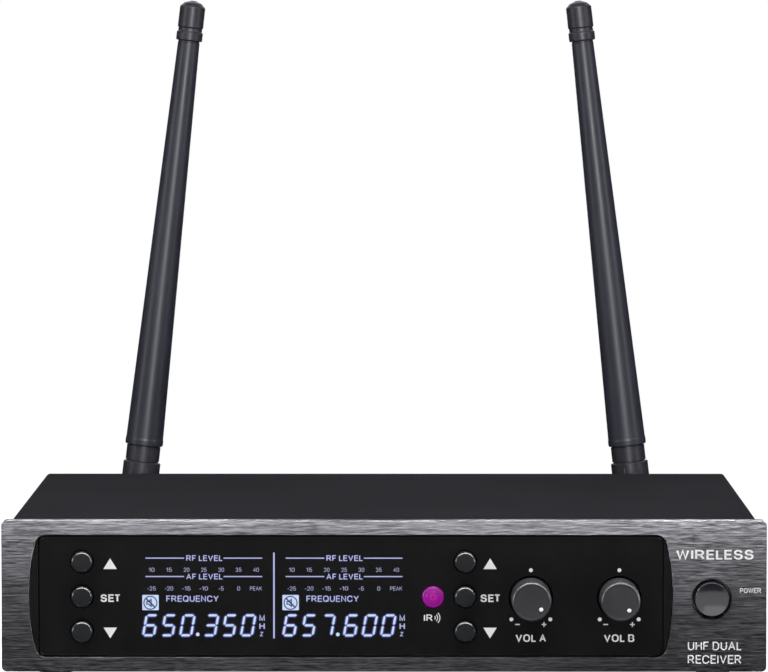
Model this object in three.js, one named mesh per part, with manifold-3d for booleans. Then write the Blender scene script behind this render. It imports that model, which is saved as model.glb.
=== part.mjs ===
// Half-rack dual-channel wireless receiver: a folded steel case behind a brushed aluminium front panel, with
// a smoked display lens, six push buttons, two volume knobs, a power button and two folding rear antennas.
// Millimetres. X runs to the right seen from the front, Y to the back and Z up. While the pieces are made,
// Y = 0 is the front panel's face and Z = 0 the table. The finished group is moved so that Y = 0 is halfway
// through its depth.
import * as THREE from "three";
import { mergeVertices } from "three/addons/utils/BufferGeometryUtils.js";
import Module from "manifold-3d";

const wasm = await Module();
wasm.setup();

// ---- Driving dimensions ----

const GAP = 0.3; // air between pieces that touch
const SHEET = 1; // folded steel thickness
const PAST = 1; // how far a cutting tool runs past the face that it cuts

const panel = { width: 212, height: 42, thickness: 5, bottom: 2, corner: 2 };
const panelMiddle = panel.bottom + panel.height / 2;

const shell = { halfWidth: 104, front: panel.thickness + GAP, back: 155, bottom: 3, top: 43.6, bend: 1.2 };
const innerHalf = shell.halfWidth - SHEET - GAP; // half width of the chassis inside the cover
const wallTop = shell.top - SHEET - GAP; // top edge of the chassis walls, under the cover

// The panel's display window has shallow round ends. Its black bezel and the lens sit inside it.
const screenWindow = { left: -98.45, right: 80.1, halfHeight: 17.1, endRadius: 62, corner: 3 };
const lens = { left: -95.5, right: 77.2, front: 0.6, thickness: 1.5 };
const bezel = { front: lens.front, seat: lens.front + lens.thickness + GAP, back: 6.6 };
const lcd = { left: -70, right: 10, bottom: 8, top: 38 };

const button = { radius: 3, front: -1.2, flangeRadius: 3.8, flangeFront: bezel.back + GAP, stemRadius: 1.2 };
const buttonRows = { up: 32.5, set: 22.8, down: 13.1 };
const buttonColumns = { a: -83.7, b: 22.5 };
const infrared = { x: 13.6, z: 22.7, radius: 3, front: 0.1 };
const controlHole = button.radius + GAP; // hole radius in lens and bezel for buttons and the infrared window

const knob = { faceRadius: 5.4, baseRadius: 5.65, front: -10, back: 2, z: 22.5, hole: 6.15 };
const knobColumns = { a: 40.7, b: 65.2 };
const knobTurn = { a: 129, b: 135 }; // where each pointer stands, degrees clockwise from the top
const shaft = { radius: 3, front: -7, back: 12.6, flat: 1.6 };

const power = { x: 90.8, z: 22.2, radius: 5.1, hole: 5.65, front: -0.9, flangeRadius: 6.4 };
const powerTravel = 1.8;
const powerSwitch = { front: 9.6, halfWidth: 4, wellHalf: 1.6 };
const plungerHalf = powerSwitch.wellHalf - GAP;

const board = { front: 15, thickness: 1.6 }; // the upright control board
const mainBoard = { halfWidth: 95, front: 22, back: 132, bottom: 9, thickness: 1.6 };
const mainBoardTop = mainBoard.bottom + mainBoard.thickness;
const post = { x: 88, rows: [30, 124], radius: 2.6 }; // board posts on the chassis floor
const lipTop = 14; // top edge of the chassis's side lips
const radioModule = { x: 70, halfWidth: 18, front: 92, back: 122, height: 8 };
const heatSink = {
  left: -34,
  width: 40,
  front: 60,
  baseThickness: 3,
  depth: 12,
  height: 22,
  fins: 6,
  finWidth: 1.5,
};
const capacitor = { x: 30, y: 64, radius: 6.5, height: 20 };
const ribbon = { halfWidth: 12, bendY: 24, bendZ: 18, inner: 5, outer: 6 };

const foot = { radius: 6, x: 92, front: 17, back: 143 };

const xlr = {
  columns: { a: 38, b: 8 },
  z: 23,
  halfWidth: 13,
  halfHeight: 15.5,
  corner: 4,
  barrel: 11.7,
  barrelFront: 141,
  bore: 9.4,
  screw: { x: 9.5, z: 12, radius: 1.6 },
  insertFront: 143.6,
  insertBack: 147,
  pinCircle: 4.4,
  pin: { radius: 1.2, end: 156 },
  tail: { radius: 0.8, front: 134 },
};
const jack = {
  x: -20,
  z: 23,
  half: 7.5,
  front: 128,
  thread: 5.4,
  end: 161,
  bore: 3.3,
  nutRadius: 8.2,
  nutDepth: 2.6,
};
const dcInput = {
  x: -42,
  z: 23,
  halfWidth: 5.5,
  halfHeight: 6,
  front: 141,
  ring: 5.2,
  mouth: 156.5,
  bore: 3.1,
  floor: 146,
  pin: 1.05,
};
const socketBodyBack = shell.back - SHEET - GAP; // the moulded sockets stop just inside the rear wall

// Each antenna leans inward about its connector's axis, which runs through the fold pin.
const antenna = { x: 77.5, z: 30.4, leanDegrees: 6.5, pinY: 180.25, knuckleRadius: 5.75 };
const socket = { barrel: 4.8, mouth: 165, hex: 8 };
// Heights along the whip, measured up from the fold pin.
const whip = {
  slotTop: 6.5,
  knuckleTop: 15,
  collarTop: 19.9,
  sleeveBottom: 20.2,
  sleeveFoot: 5.9, // the sleeve's radius at its foot
  sleeveTop: 146,
  ringTop: 149.3,
  grooveTop: 150.5,
  shoulder: 157,
  tip: 159,
};

const frontmost = knob.front;
const rearmost = antenna.pinY + whip.sleeveFoot;

// ---- Finishes ----

const finish = (color, roughness, metalness) =>
  new THREE.MeshStandardMaterial({ color, roughness, metalness });
const finishes = {
  brushedAluminium: () => finish(0x6c6c72, 0.38, 1),
  coverPaint: () => finish(0x26262a, 0.55, 0),
  chassisSteel: () => finish(0x8d8f92, 0.45, 1),
  blackGloss: () => finish(0x0a0a0b, 0.08, 0),
  blackMatte: () => finish(0x141416, 0.5, 0),
  knobPlastic: () => finish(0x1d1d20, 0.42, 0),
  infraredPlastic: () => finish(0x8a108c, 0.15, 0),
  displayGlass: () => finish(0x05060a, 0.05, 0),
  backlightPlastic: () => finish(0xd8dce0, 0.6, 0),
  circuitBoard: () => finish(0x1d4a2c, 0.5, 0),
  rubber: () => finish(0x17171a, 0.62, 0),
  antennaPlastic: () => finish(0x1b1b1f, 0.45, 0),
  nickel: () => finish(0xb4b4b0, 0.25, 1),
  darkMetal: () => finish(0x2a2a2c, 0.35, 1),
  cableJacket: () => finish(0x3a3a3c, 0.55, 0),
};

// ---- Solid helpers ----

// A closed three.js geometry as a manifold-3d solid whose faces point out.
function solid(geometry) {
  const bare = geometry.index ? geometry.toNonIndexed() : geometry.clone();
  bare.deleteAttribute("normal");
  bare.deleteAttribute("uv");
  const merged = mergeVertices(bare, 1e-4);
  const vertProperties = new Float32Array(merged.attributes.position.array);
  const triVerts = new Uint32Array(merged.index.array);
  const made = new wasm.Manifold(new wasm.Mesh({ numProp: 3, vertProperties, triVerts }));
  if (made.volume() >= 0) return made;
  for (let i = 0; i < triVerts.length; i += 3) {
    [triVerts[i + 1], triVerts[i + 2]] = [triVerts[i + 2], triVerts[i + 1]];
  }
  return new wasm.Manifold(new wasm.Mesh({ numProp: 3, vertProperties, triVerts }));
}

const join = (first, ...rest) => rest.reduce((sum, piece) => sum.add(piece), first);
const cut = (first, ...tools) => tools.reduce((left, tool) => left.subtract(tool), first);

// A named mesh made from a manifold-3d solid.
function mesh(name, made, material) {
  const { vertProperties, triVerts, numProp } = made.getMesh();
  const positions = new Float32Array((vertProperties.length / numProp) * 3);
  for (let i = 0; i < positions.length / 3; i++) {
    positions.set(vertProperties.subarray(i * numProp, i * numProp + 3), i * 3);
  }
  const geometry = new THREE.BufferGeometry();
  geometry.setAttribute("position", new THREE.BufferAttribute(positions, 3));
  geometry.setIndex(new THREE.BufferAttribute(triVerts, 1));
  geometry.computeVertexNormals();
  const result = new THREE.Mesh(geometry, material);
  result.name = name;
  return result;
}

// A box between two opposite corners.
function block([x0, y0, z0], [x1, y1, z1]) {
  const geometry = new THREE.BoxGeometry(x1 - x0, y1 - y0, z1 - z0);
  geometry.translate((x0 + x1) / 2, (y0 + y1) / 2, (z0 + z1) / 2);
  return solid(geometry);
}

// A profile of [radius, y] points turned about a line along Y through x, z.
function turned(profile, { x = 0, z = 0, sides = 24 } = {}) {
  const geometry = new THREE.LatheGeometry(
    profile.map(([r, y]) => new THREE.Vector2(r, y)),
    sides,
  );
  geometry.translate(x, 0, z);
  return solid(geometry);
}

// A profile of [radius, z] points turned about a line along Z through x, y.
function turnedUpright(profile, { x = 0, y = 0, sides = 24 } = {}) {
  const geometry = new THREE.LatheGeometry(
    profile.map(([r, height]) => new THREE.Vector2(r, height)),
    sides,
  );
  geometry.rotateX(Math.PI / 2);
  geometry.translate(x, y, 0);
  return solid(geometry);
}

// A plain rod along Y.
const rod = (radius, front, back, place) =>
  turned([[0, front], [radius, front], [radius, back], [0, back]], place);

// A shape drawn in X and Z, as seen from the front, filling from y = front to y = back.
function plate(shape, front, back, curveSegments = 12) {
  const geometry = new THREE.ExtrudeGeometry(shape, {
    depth: back - front,
    bevelEnabled: false,
    curveSegments,
  });
  geometry.rotateX(Math.PI / 2);
  geometry.translate(0, back, 0);
  return solid(geometry);
}

// A shape drawn in Y and Z, as seen from the right, filling from x = left to x = right.
function sidePlate(shape, left, right, curveSegments = 12) {
  const geometry = new THREE.ExtrudeGeometry(shape, {
    depth: right - left,
    bevelEnabled: false,
    curveSegments,
  });
  const toSide = new THREE.Matrix4().makeBasis(
    new THREE.Vector3(0, 1, 0),
    new THREE.Vector3(0, 0, 1),
    new THREE.Vector3(1, 0, 0),
  );
  geometry.applyMatrix4(toSide);
  geometry.translate(left, 0, 0);
  return solid(geometry);
}

function roundedRectangle(left, right, bottom, top, corner) {
  const shape = new THREE.Shape();
  shape.absarc(right - corner, bottom + corner, corner, -Math.PI / 2, 0);
  shape.absarc(right - corner, top - corner, corner, 0, Math.PI / 2);
  shape.absarc(left + corner, top - corner, corner, Math.PI / 2, Math.PI);
  shape.absarc(left + corner, bottom + corner, corner, Math.PI, 1.5 * Math.PI);
  shape.closePath();
  return shape;
}

// The window's outline, drawn in by inset: straight top and bottom, shallow round ends, small round corners.
function windowOutline(inset) {
  const { left, right, halfHeight, endRadius, corner } = screenWindow;
  const end = endRadius - inset;
  const small = corner - inset;
  const rise = halfHeight - corner;
  const run = Math.sqrt((endRadius - corner) ** 2 - rise ** 2);
  const tilt = Math.atan2(rise, run);
  const rightCentre = right - endRadius;
  const leftCentre = left + endRadius;
  const shape = new THREE.Shape();
  shape.absarc(rightCentre + run, panelMiddle - rise, small, -Math.PI / 2, -tilt);
  shape.absarc(rightCentre, panelMiddle, end, -tilt, tilt);
  shape.absarc(rightCentre + run, panelMiddle + rise, small, tilt, Math.PI / 2);
  shape.absarc(leftCentre - run, panelMiddle + rise, small, Math.PI / 2, Math.PI - tilt);
  shape.absarc(leftCentre, panelMiddle, end, Math.PI - tilt, Math.PI + tilt);
  shape.absarc(leftCentre - run, panelMiddle - rise, small, Math.PI + tilt, 1.5 * Math.PI);
  shape.closePath();
  return shape;
}

const receiver = new THREE.Group();
const assembly = new THREE.Group();
assembly.position.y = -(frontmost + rearmost) / 2;
receiver.add(assembly);
const add = (...pieces) => assembly.add(...pieces);

// ---- Case ----

// The chassis is one folded sheet: floor, front wall, rear wall and two low side lips, with four board posts.
function chassis() {
  const { front, back, bottom } = shell;
  const floorTop = bottom + SHEET;
  const across = (y0, y1, z0, z1) => block([-innerHalf, y0, z0], [innerHalf, y1, z1]);
  const lip = (side) => {
    const outer = side * innerHalf;
    const inner = side * (innerHalf - SHEET);
    return block([Math.min(outer, inner), front, bottom], [Math.max(outer, inner), back, lipTop]);
  };
  const postTop = mainBoard.bottom - GAP;
  const posts = [-1, 1].flatMap((side) =>
    post.rows.map((y) =>
      turnedUpright([[0, bottom], [post.radius, bottom], [post.radius, postTop], [0, postTop]], {
        x: side * post.x,
        y,
        sides: 12,
      }),
    ),
  );
  const sheet = join(
    across(front, back, bottom, floorTop),
    across(front, front + SHEET, bottom, wallTop),
    across(back - SHEET, back, bottom, wallTop),
    lip(-1),
    lip(1),
    ...posts,
  );
  const through = (radius, x, z) => rod(radius, back - SHEET - PAST, back + PAST, { x, z });
  return cut(
    sheet,
    block(
      [screenWindow.left - 0.75, front - PAST, panelMiddle - screenWindow.halfHeight - GAP],
      [screenWindow.right + 0.7, front + SHEET + PAST, panelMiddle + screenWindow.halfHeight + GAP],
    ),
    rod(power.flangeRadius + 2 * GAP, front - PAST, front + SHEET + PAST, power),
    ...Object.values(xlr.columns).map((x) => through(xlr.barrel + GAP, x, xlr.z)),
    through(jack.thread + GAP, jack.x, jack.z),
    through(dcInput.ring + GAP, dcInput.x, dcInput.z),
    through(socket.barrel + GAP, -antenna.x, antenna.z),
    through(socket.barrel + GAP, antenna.x, antenna.z),
  );
}

// The cover is one folded sheet: top and two sides, held by two screws a side.
function topCover() {
  const { halfWidth, front, back, bottom, top, bend } = shell;
  const inner = halfWidth - SHEET;
  const outline = roundedRectangle(-halfWidth, halfWidth, bottom - bend, top, bend);
  const outside = plate(outline, front, back, 4);
  const inside = block([-inner, front - PAST, bottom - 2 * bend], [inner, back + PAST, top - SHEET]);
  const below = block(
    [-halfWidth - PAST, front - PAST, bottom - 2 * bend],
    [halfWidth + PAST, back + PAST, bottom],
  );
  return cut(outside, inside, below);
}

function frontPanel() {
  const { width, height, thickness, bottom, corner } = panel;
  const outline = roundedRectangle(-width / 2, width / 2, bottom, bottom + height, corner);
  return cut(
    plate(outline, 0, thickness, 5),
    plate(windowOutline(0), -PAST, thickness + PAST),
    rod(power.hole, -PAST, thickness + PAST, { ...power, sides: 32 }),
  );
}

const controlPlaces = [
  ...Object.values(buttonColumns).flatMap((x) => Object.values(buttonRows).map((z) => ({ x, z }))),
  { x: infrared.x, z: infrared.z },
];

// Cutters for everything that comes through the lens and the bezel.
const frontCutters = (from, to) => [
  ...controlPlaces.map((place) => rod(controlHole, from, to, { ...place, sides: 20 })),
  ...Object.values(knobColumns).map((x) => rod(knob.hole, from, to, { x, z: knob.z, sides: 28 })),
];

// The bezel fills the window. Its ends stand beside the lens seat and show as two black crescents. Four
// bosses behind its corners carry the control board.
function displayBezel() {
  const { front, seat, back } = bezel;
  const seatHalf = panel.height / 2;
  const boss = (x, z) => rod(2, back - PAST, board.front - GAP, { x, z, sides: 10 });
  const bosses = [-93.5, 75.5].flatMap((x) => [boss(x, panelMiddle - 13), boss(x, panelMiddle + 13)]);
  return cut(
    join(plate(windowOutline(GAP), front, back, 8), ...bosses),
    block(
      [lens.left - GAP, front - PAST, panelMiddle - seatHalf],
      [lens.right + GAP, seat, panelMiddle + seatHalf],
    ),
    block([lcd.left, front, lcd.bottom], [lcd.right, back + PAST, lcd.top]),
    ...frontCutters(front, back + PAST),
  );
}

function displayLens() {
  const back = lens.front + lens.thickness;
  const outline = plate(windowOutline(2 * GAP), lens.front, back, 8);
  const sides = block([lens.left, -PAST, 0], [lens.right, back + PAST, panel.height + panel.bottom]);
  return cut(outline.intersect(sides), ...frontCutters(-PAST, back + PAST));
}

function rubberFoot(x, y) {
  const top = shell.bottom - GAP;
  const profile = [[0, 0], [foot.radius - 0.8, 0], [foot.radius, top], [0, top]];
  return turnedUpright(profile, { x, y });
}

add(
  mesh("chassis", chassis(), finishes.chassisSteel()),
  mesh("top_cover", topCover(), finishes.coverPaint()),
  mesh("front_panel", frontPanel(), finishes.brushedAluminium()),
  mesh("display_bezel", displayBezel(), finishes.blackMatte()),
  mesh("display_lens", displayLens(), finishes.blackGloss()),
  mesh("foot_front_left", rubberFoot(-foot.x, foot.front), finishes.rubber()),
  mesh("foot_front_right", rubberFoot(foot.x, foot.front), finishes.rubber()),
  mesh("foot_rear_left", rubberFoot(-foot.x, foot.back), finishes.rubber()),
  mesh("foot_rear_right", rubberFoot(foot.x, foot.back), finishes.rubber()),
);

// ---- Front controls ----

// A button cap: domed face, a flange that stops it behind the bezel, and the stem that works its switch.
function buttonCap(x, z) {
  const { radius, front, flangeRadius, flangeFront, stemRadius } = button;
  const flangeBack = flangeFront + 0.8;
  const stemEnd = board.front - 3;
  const profile = [
    [0, front],
    [radius * 0.55, front + 0.12],
    [radius * 0.85, front + 0.4],
    [radius, front + 1],
    [radius, flangeFront],
    [flangeRadius, flangeFront],
    [flangeRadius, flangeBack],
    [stemRadius, flangeBack],
    [stemRadius, stemEnd],
    [0, stemEnd],
  ];
  return turned(profile, { x, z, sides: 20 });
}

for (const [channel, x] of Object.entries(buttonColumns)) {
  for (const [action, z] of Object.entries(buttonRows)) {
    add(mesh(`button_${action}_${channel}`, buttonCap(x, z), finishes.blackGloss()));
  }
}

// The knob, pointer up. The bore takes the shaft's flat, so knob and shaft turn as one.
function volumeKnob() {
  const { faceRadius, baseRadius, front, back } = knob;
  const body = turned([
    [0, front],
    [faceRadius - 0.7, front],
    [faceRadius, front + 0.7],
    [baseRadius, back - 0.6],
    [baseRadius - 0.3, back],
    [0, back],
  ]);
  return cut(body, flattedRod(shaft.radius + GAP, shaft.front - GAP, back + PAST, shaft.flat + GAP));
}

// A rod along Y with a flat on its upper side, as on a volume control's shaft.
function flattedRod(radius, front, back, flat) {
  const above = block([-radius, front - PAST, flat], [radius, back + PAST, radius + PAST]);
  return cut(rod(radius, front, back), above);
}

function volumeShaft() {
  const roundFrom = knob.back + 0.6;
  return join(
    flattedRod(shaft.radius, shaft.front, roundFrom, shaft.flat),
    rod(shaft.radius, roundFrom, shaft.back),
  );
}

function volumeControl() {
  const bushingFront = knob.back + 1.2;
  const bodyFront = 7.2;
  return cut(
    join(
      block([-5.5, bodyFront, -6.5], [5.5, board.front - GAP, 5.5]),
      rod(4.4, bushingFront, bodyFront + PAST),
    ),
    rod(shaft.radius + GAP, bushingFront - PAST, shaft.back + GAP),
  );
}

for (const [channel, x] of Object.entries(knobColumns)) {
  const place = new THREE.Group();
  place.position.set(x, 0, knob.z);
  const turning = new THREE.Group();
  turning.rotation.y = THREE.MathUtils.degToRad(knobTurn[channel]);
  turning.add(
    mesh(`volume_knob_${channel}`, volumeKnob(), finishes.knobPlastic()),
    mesh(`volume_shaft_${channel}`, volumeShaft(), finishes.nickel()),
  );
  place.add(turning, mesh(`volume_control_${channel}`, volumeControl(), finishes.darkMetal()));
  add(place);
}

// The infrared window: a tinted disc held like a button.
function infraredWindow() {
  const { radius, front, x, z } = infrared;
  const flangeBack = button.flangeFront + 0.8;
  const profile = [
    [0, front],
    [radius * 0.7, front + 0.15],
    [radius, front + 0.5],
    [radius, button.flangeFront],
    [button.flangeRadius, button.flangeFront],
    [button.flangeRadius, flangeBack],
    [0, flangeBack],
  ];
  return turned(profile, { x, z, sides: 20 });
}

// The power button has a domed face, a flange behind the panel and a square socket for the switch's plunger.
function powerButton() {
  const { x, z, radius, front, flangeRadius } = power;
  const flangeFront = panel.thickness + 2 * GAP;
  const flangeBack = flangeFront + 1;
  const body = turned(
    [
      [0, front],
      [radius * 0.6, front + 0.08],
      [radius * 0.88, front + 0.35],
      [radius, front + 1.1],
      [radius, flangeFront],
      [flangeRadius, flangeFront],
      [flangeRadius, flangeBack],
      [0, flangeBack],
    ],
    { x, z, sides: 32 },
  );
  return cut(body, squareRod(powerSwitch.wellHalf, plungerFront - GAP, flangeBack + PAST));
}

// A square rod along Y on the power button's axis.
const squareRod = (half, front, back) =>
  block([power.x - half, front, power.z - half], [power.x + half, back, power.z + half]);

const plungerFront = 2.8;
const wellBack = board.front - 1;
const powerPlunger = () => squareRod(plungerHalf, plungerFront, wellBack - GAP - powerTravel);

const powerSwitchBody = () =>
  cut(
    squareRod(powerSwitch.halfWidth, powerSwitch.front, board.front - GAP),
    squareRod(powerSwitch.wellHalf, powerSwitch.front - PAST, wellBack),
  );

add(
  mesh("infrared_window", infraredWindow(), finishes.infraredPlastic()),
  mesh("power_button", powerButton(), finishes.blackGloss()),
  mesh("power_plunger", powerPlunger(), finishes.backlightPlastic()),
  mesh("power_switch", powerSwitchBody(), finishes.darkMetal()),
);

// ---- Display and boards ----

const glassInset = 0.5;
const displayGlass = () =>
  block(
    [lcd.left + glassInset, bezel.seat + GAP, lcd.bottom + glassInset],
    [lcd.right - glassInset, 5.2, lcd.top - glassInset],
  );

// The backlight box stands off the control board on four legs.
function backlight() {
  const left = lcd.left + glassInset;
  const right = lcd.right - glassInset;
  const bottom = lcd.bottom + glassInset;
  const top = lcd.top - glassInset;
  const leg = 2.4;
  const legs = [left, right - leg].flatMap((x) =>
    [bottom, top - leg].map((z) => block([x, 8, z], [x + leg, board.front - GAP, z + leg])),
  );
  return join(block([left, 5.5, bottom], [right, 9, top]), ...legs);
}

// The upright board behind the panel, with the six switch housings and the infrared receiver soldered to it.
function controlBoard() {
  const { front, thickness } = board;
  const switchHalf = 3;
  const switchFront = front - 3.8;
  const housings = Object.values(buttonColumns).flatMap((x) =>
    Object.values(buttonRows).map((z) =>
      cut(
        block([x - switchHalf, switchFront, z - switchHalf], [x + switchHalf, front, z + switchHalf]),
        rod(button.stemRadius + 0.4, switchFront - PAST, front - 1.4, { x, z, sides: 12 }),
      ),
    ),
  );
  const receiverEye = block(
    [infrared.x - 2.5, 9.5, infrared.z - 3],
    [infrared.x + 2.5, front, infrared.z + 3],
  );
  return join(block([-98, front, 6], [99, front + thickness, 40]), ...housings, receiverEye);
}

function mainCircuitBoard() {
  const { halfWidth, front, back, bottom } = mainBoard;
  return block([-halfWidth, front, bottom], [halfWidth, back, mainBoardTop]);
}

function shieldedRadio(side) {
  const { x, halfWidth, front, back, height } = radioModule;
  const bottom = mainBoardTop + GAP;
  return block([side * x - halfWidth, front, bottom], [side * x + halfWidth, back, bottom + height]);
}

// A finned aluminium heat sink for the voltage regulator.
function finnedHeatSink() {
  const { left, width, front, baseThickness, depth, height, fins, finWidth } = heatSink;
  const bottom = mainBoardTop + GAP;
  const top = bottom + height;
  const pitch = (width - finWidth) / (fins - 1);
  const base = block([left, front, bottom], [left + width, front + baseThickness, top]);
  const blades = Array.from({ length: fins }, (_, i) =>
    block(
      [left + i * pitch, front + baseThickness - PAST, bottom],
      [left + i * pitch + finWidth, front + depth, top],
    ),
  );
  return join(base, ...blades);
}

function filterCapacitor() {
  const { x, y, radius, height } = capacitor;
  const bottom = mainBoardTop + GAP;
  const top = bottom + height;
  return turnedUpright([[0, bottom], [radius, bottom], [radius, top], [0, top]], { x, y });
}

// The flat ribbon from the back of the control board down to the main board.
function ribbonCable() {
  const { halfWidth, bendY, bendZ, inner, outer } = ribbon;
  const start = board.front + board.thickness + GAP;
  const shape = new THREE.Shape();
  shape.moveTo(start, bendZ + inner);
  shape.lineTo(bendY, bendZ + inner);
  shape.absarc(bendY, bendZ, inner, Math.PI / 2, 0, true);
  shape.lineTo(bendY + inner, mainBoardTop + GAP);
  shape.lineTo(bendY + outer, mainBoardTop + GAP);
  shape.absarc(bendY, bendZ, outer, 0, Math.PI / 2, false);
  shape.lineTo(start, bendZ + outer);
  shape.closePath();
  return sidePlate(shape, -halfWidth, halfWidth, 6);
}

add(
  mesh("display_glass", displayGlass(), finishes.displayGlass()),
  mesh("display_backlight", backlight(), finishes.backlightPlastic()),
  mesh("control_board", controlBoard(), finishes.circuitBoard()),
  mesh("main_board", mainCircuitBoard(), finishes.circuitBoard()),
  mesh("radio_module_a", shieldedRadio(-1), finishes.nickel()),
  mesh("radio_module_b", shieldedRadio(1), finishes.nickel()),
  mesh("regulator_heat_sink", finnedHeatSink(), finishes.darkMetal()),
  mesh("filter_capacitor", filterCapacitor(), finishes.blackMatte()),
  mesh("ribbon_cable", ribbonCable(), finishes.cableJacket()),
);

// ---- Rear sockets ----

const rearFace = shell.back + GAP;

// A three-pin output: square flange and round barrel in one casting, and the insulator that holds the pins.
function outputShell(x) {
  const { z, halfWidth, halfHeight, corner, barrel, barrelFront: front, bore, screw } = xlr;
  const flange = rearFace + 2;
  const outline = roundedRectangle(x - halfWidth, x + halfWidth, z - halfHeight, z + halfHeight, corner);
  const screwHole = (side) => {
    const place = { x: x - side * screw.x, z: z + side * screw.z, sides: 12 };
    return rod(screw.radius, rearFace - PAST, flange + PAST, place);
  };
  return cut(
    join(
      plate(outline, rearFace, flange, 4),
      rod(barrel, front, flange - 1, { x, z, sides: 32 }),
    ),
    rod(bore, front + 2.3, flange + PAST, { x, z, sides: 32 }),
    rod(6, front - PAST, front + 3, { x, z }),
    screwHole(-1),
    screwHole(1),
  );
}

function outputInsert(x) {
  const { z, bore, insertFront, insertBack, pinCircle, pin, tail } = xlr;
  const pins = [90, 210, 330].flatMap((degrees) => {
    const angle = THREE.MathUtils.degToRad(degrees);
    const place = { x: x + pinCircle * Math.cos(angle), z: z - pinCircle * Math.sin(angle), sides: 12 };
    return [
      rod(pin.radius, insertBack - PAST, pin.end, place),
      rod(tail.radius, tail.front, insertFront, place),
    ];
  });
  const disc = rod(bore - GAP, insertFront, insertBack, { x, z });
  const spigot = rod(5.7, 138, insertFront + PAST, { x, z });
  return join(disc, spigot, ...pins);
}

function jackSocket() {
  const { x, z, half, front, thread, end, bore } = jack;
  return cut(
    join(
      block([x - half, front, z - half], [x + half, socketBodyBack, z + half]),
      rod(thread, socketBodyBack - PAST, end, { x, z }),
    ),
    rod(bore, front + 2, end + PAST, { x, z }),
  );
}

const hexRod = (radius, front, back, place) => rod(radius, front, back, { ...place, sides: 6 });

function jackNut() {
  const { x, z, thread, end, nutRadius, nutDepth } = jack;
  return cut(
    hexRod(nutRadius, rearFace, rearFace + nutDepth, { x, z }),
    rod(thread + GAP, rearFace - PAST, end, { x, z }),
  );
}

function dcSocket() {
  const { x, z, halfWidth, halfHeight, front, ring, mouth, bore, floor, pin } = dcInput;
  return join(
    cut(
      join(
        block([x - halfWidth, front, z - halfHeight], [x + halfWidth, socketBodyBack, z + halfHeight]),
        rod(ring, socketBodyBack - PAST, mouth, { x, z }),
      ),
      rod(bore, floor, mouth + PAST, { x, z }),
    ),
    rod(pin, floor - PAST, mouth - 1.5, { x, z, sides: 12 }),
  );
}

for (const [channel, x] of Object.entries(xlr.columns)) {
  add(
    mesh(`output_shell_${channel}`, outputShell(x), finishes.darkMetal()),
    mesh(`output_pins_${channel}`, outputInsert(x), finishes.blackMatte()),
  );
}
add(
  mesh("mix_jack", jackSocket(), finishes.blackMatte()),
  mesh("mix_jack_nut", jackNut(), finishes.nickel()),
  mesh("dc_input", dcSocket(), finishes.blackMatte()),
);

// ---- Antennas ----

const plugRadius = 3.6;
const tongueHalf = 2.1;
const tongueRadius = 4.8;
const baseBack = antenna.pinY - antenna.knuckleRadius - 0.4;

// The fixed coaxial socket with its hexagonal flange outside the rear wall.
function antennaSocket() {
  const barrel = turned([
    [0, 147],
    [1.5, 147],
    [1.5, 149],
    [socket.barrel, 149],
    [socket.barrel, socket.mouth],
    [4, socket.mouth],
    [4, 158.6],
    [0, 158.6],
  ]);
  return join(barrel, hexRod(socket.hex, rearFace, rearFace + 2));
}

// The bayonet ring turns on the plug and grips the socket.
function couplingRing() {
  return turned([
    [5.1, 158],
    [7.2, 158],
    [7.2, 168.7],
    [3.9, 168.7],
    [3.9, 166],
    [5.1, 166],
    [5.1, 158],
  ]);
}

// The plug and its tongue. It swivels about the connector's axis and carries the fold pin.
function antennaBase() {
  const tongue = new THREE.Shape();
  tongue.absarc(antenna.pinY, 0, tongueRadius, -Math.PI / 2, Math.PI / 2);
  tongue.lineTo(baseBack - 2, tongueRadius);
  tongue.lineTo(baseBack - 2, -tongueRadius);
  tongue.closePath();
  return cut(
    join(
      rod(plugRadius, 159.5, 170),
      rod(5.5, 169, baseBack),
      sidePlate(tongue, -tongueHalf, tongueHalf, 16),
    ),
    foldRod(1.5, tongueHalf + PAST),
  );
}

// A rod along X through the fold axis, reaching halfLength to each side.
function foldRod(radius, halfLength, sides = 16) {
  const geometry = new THREE.CylinderGeometry(radius, radius, 2 * halfLength, sides);
  geometry.rotateZ(Math.PI / 2);
  geometry.translate(0, antenna.pinY, 0);
  return solid(geometry);
}

// A whip piece: a profile of [radius, height above the fold pin] turned about the whip's axis.
const whipPiece = (profile, sides = 24) => turnedUpright(profile, { y: antenna.pinY, sides });

// The knuckle is a fork round the tongue, rounded about the pin so that it can fold back.
function antennaKnuckle() {
  const { knuckleRadius: radius, pinY } = antenna;
  const { knuckleTop, slotTop } = whip;
  const column = whipPiece([
    [0, 0],
    [radius, 0],
    [radius, knuckleTop - 0.5],
    [radius - 0.5, knuckleTop],
    [0, knuckleTop],
  ]);
  const stub = whipPiece([[0, -radius], [radius, -radius], [radius, 0.01], [0, 0.01]]);
  const roundEnd = stub.intersect(foldRod(radius, radius + PAST, 32));
  return cut(
    join(column, roundEnd),
    block([-tongueHalf - GAP, pinY - 10, -10], [tongueHalf + GAP, pinY + 10, slotTop]),
    foldRod(1.5, 10),
  );
}

// The collar that shows below the sleeve, in one piece with the radiating rod inside it.
const whipCore = () =>
  whipPiece([
    [0, whip.knuckleTop + GAP],
    [5.25, whip.knuckleTop + GAP],
    [5.25, whip.collarTop],
    [2, whip.collarTop],
    [2, 140],
    [0, 140],
  ]);

const whipSleeve = () =>
  whipPiece([
    [2.4, whip.sleeveBottom],
    [5.6, whip.sleeveBottom],
    [whip.sleeveFoot, whip.sleeveBottom + 0.5],
    [3.4, whip.sleeveTop],
    [2.4, whip.sleeveTop],
    [2.4, whip.sleeveBottom],
  ]);

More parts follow.
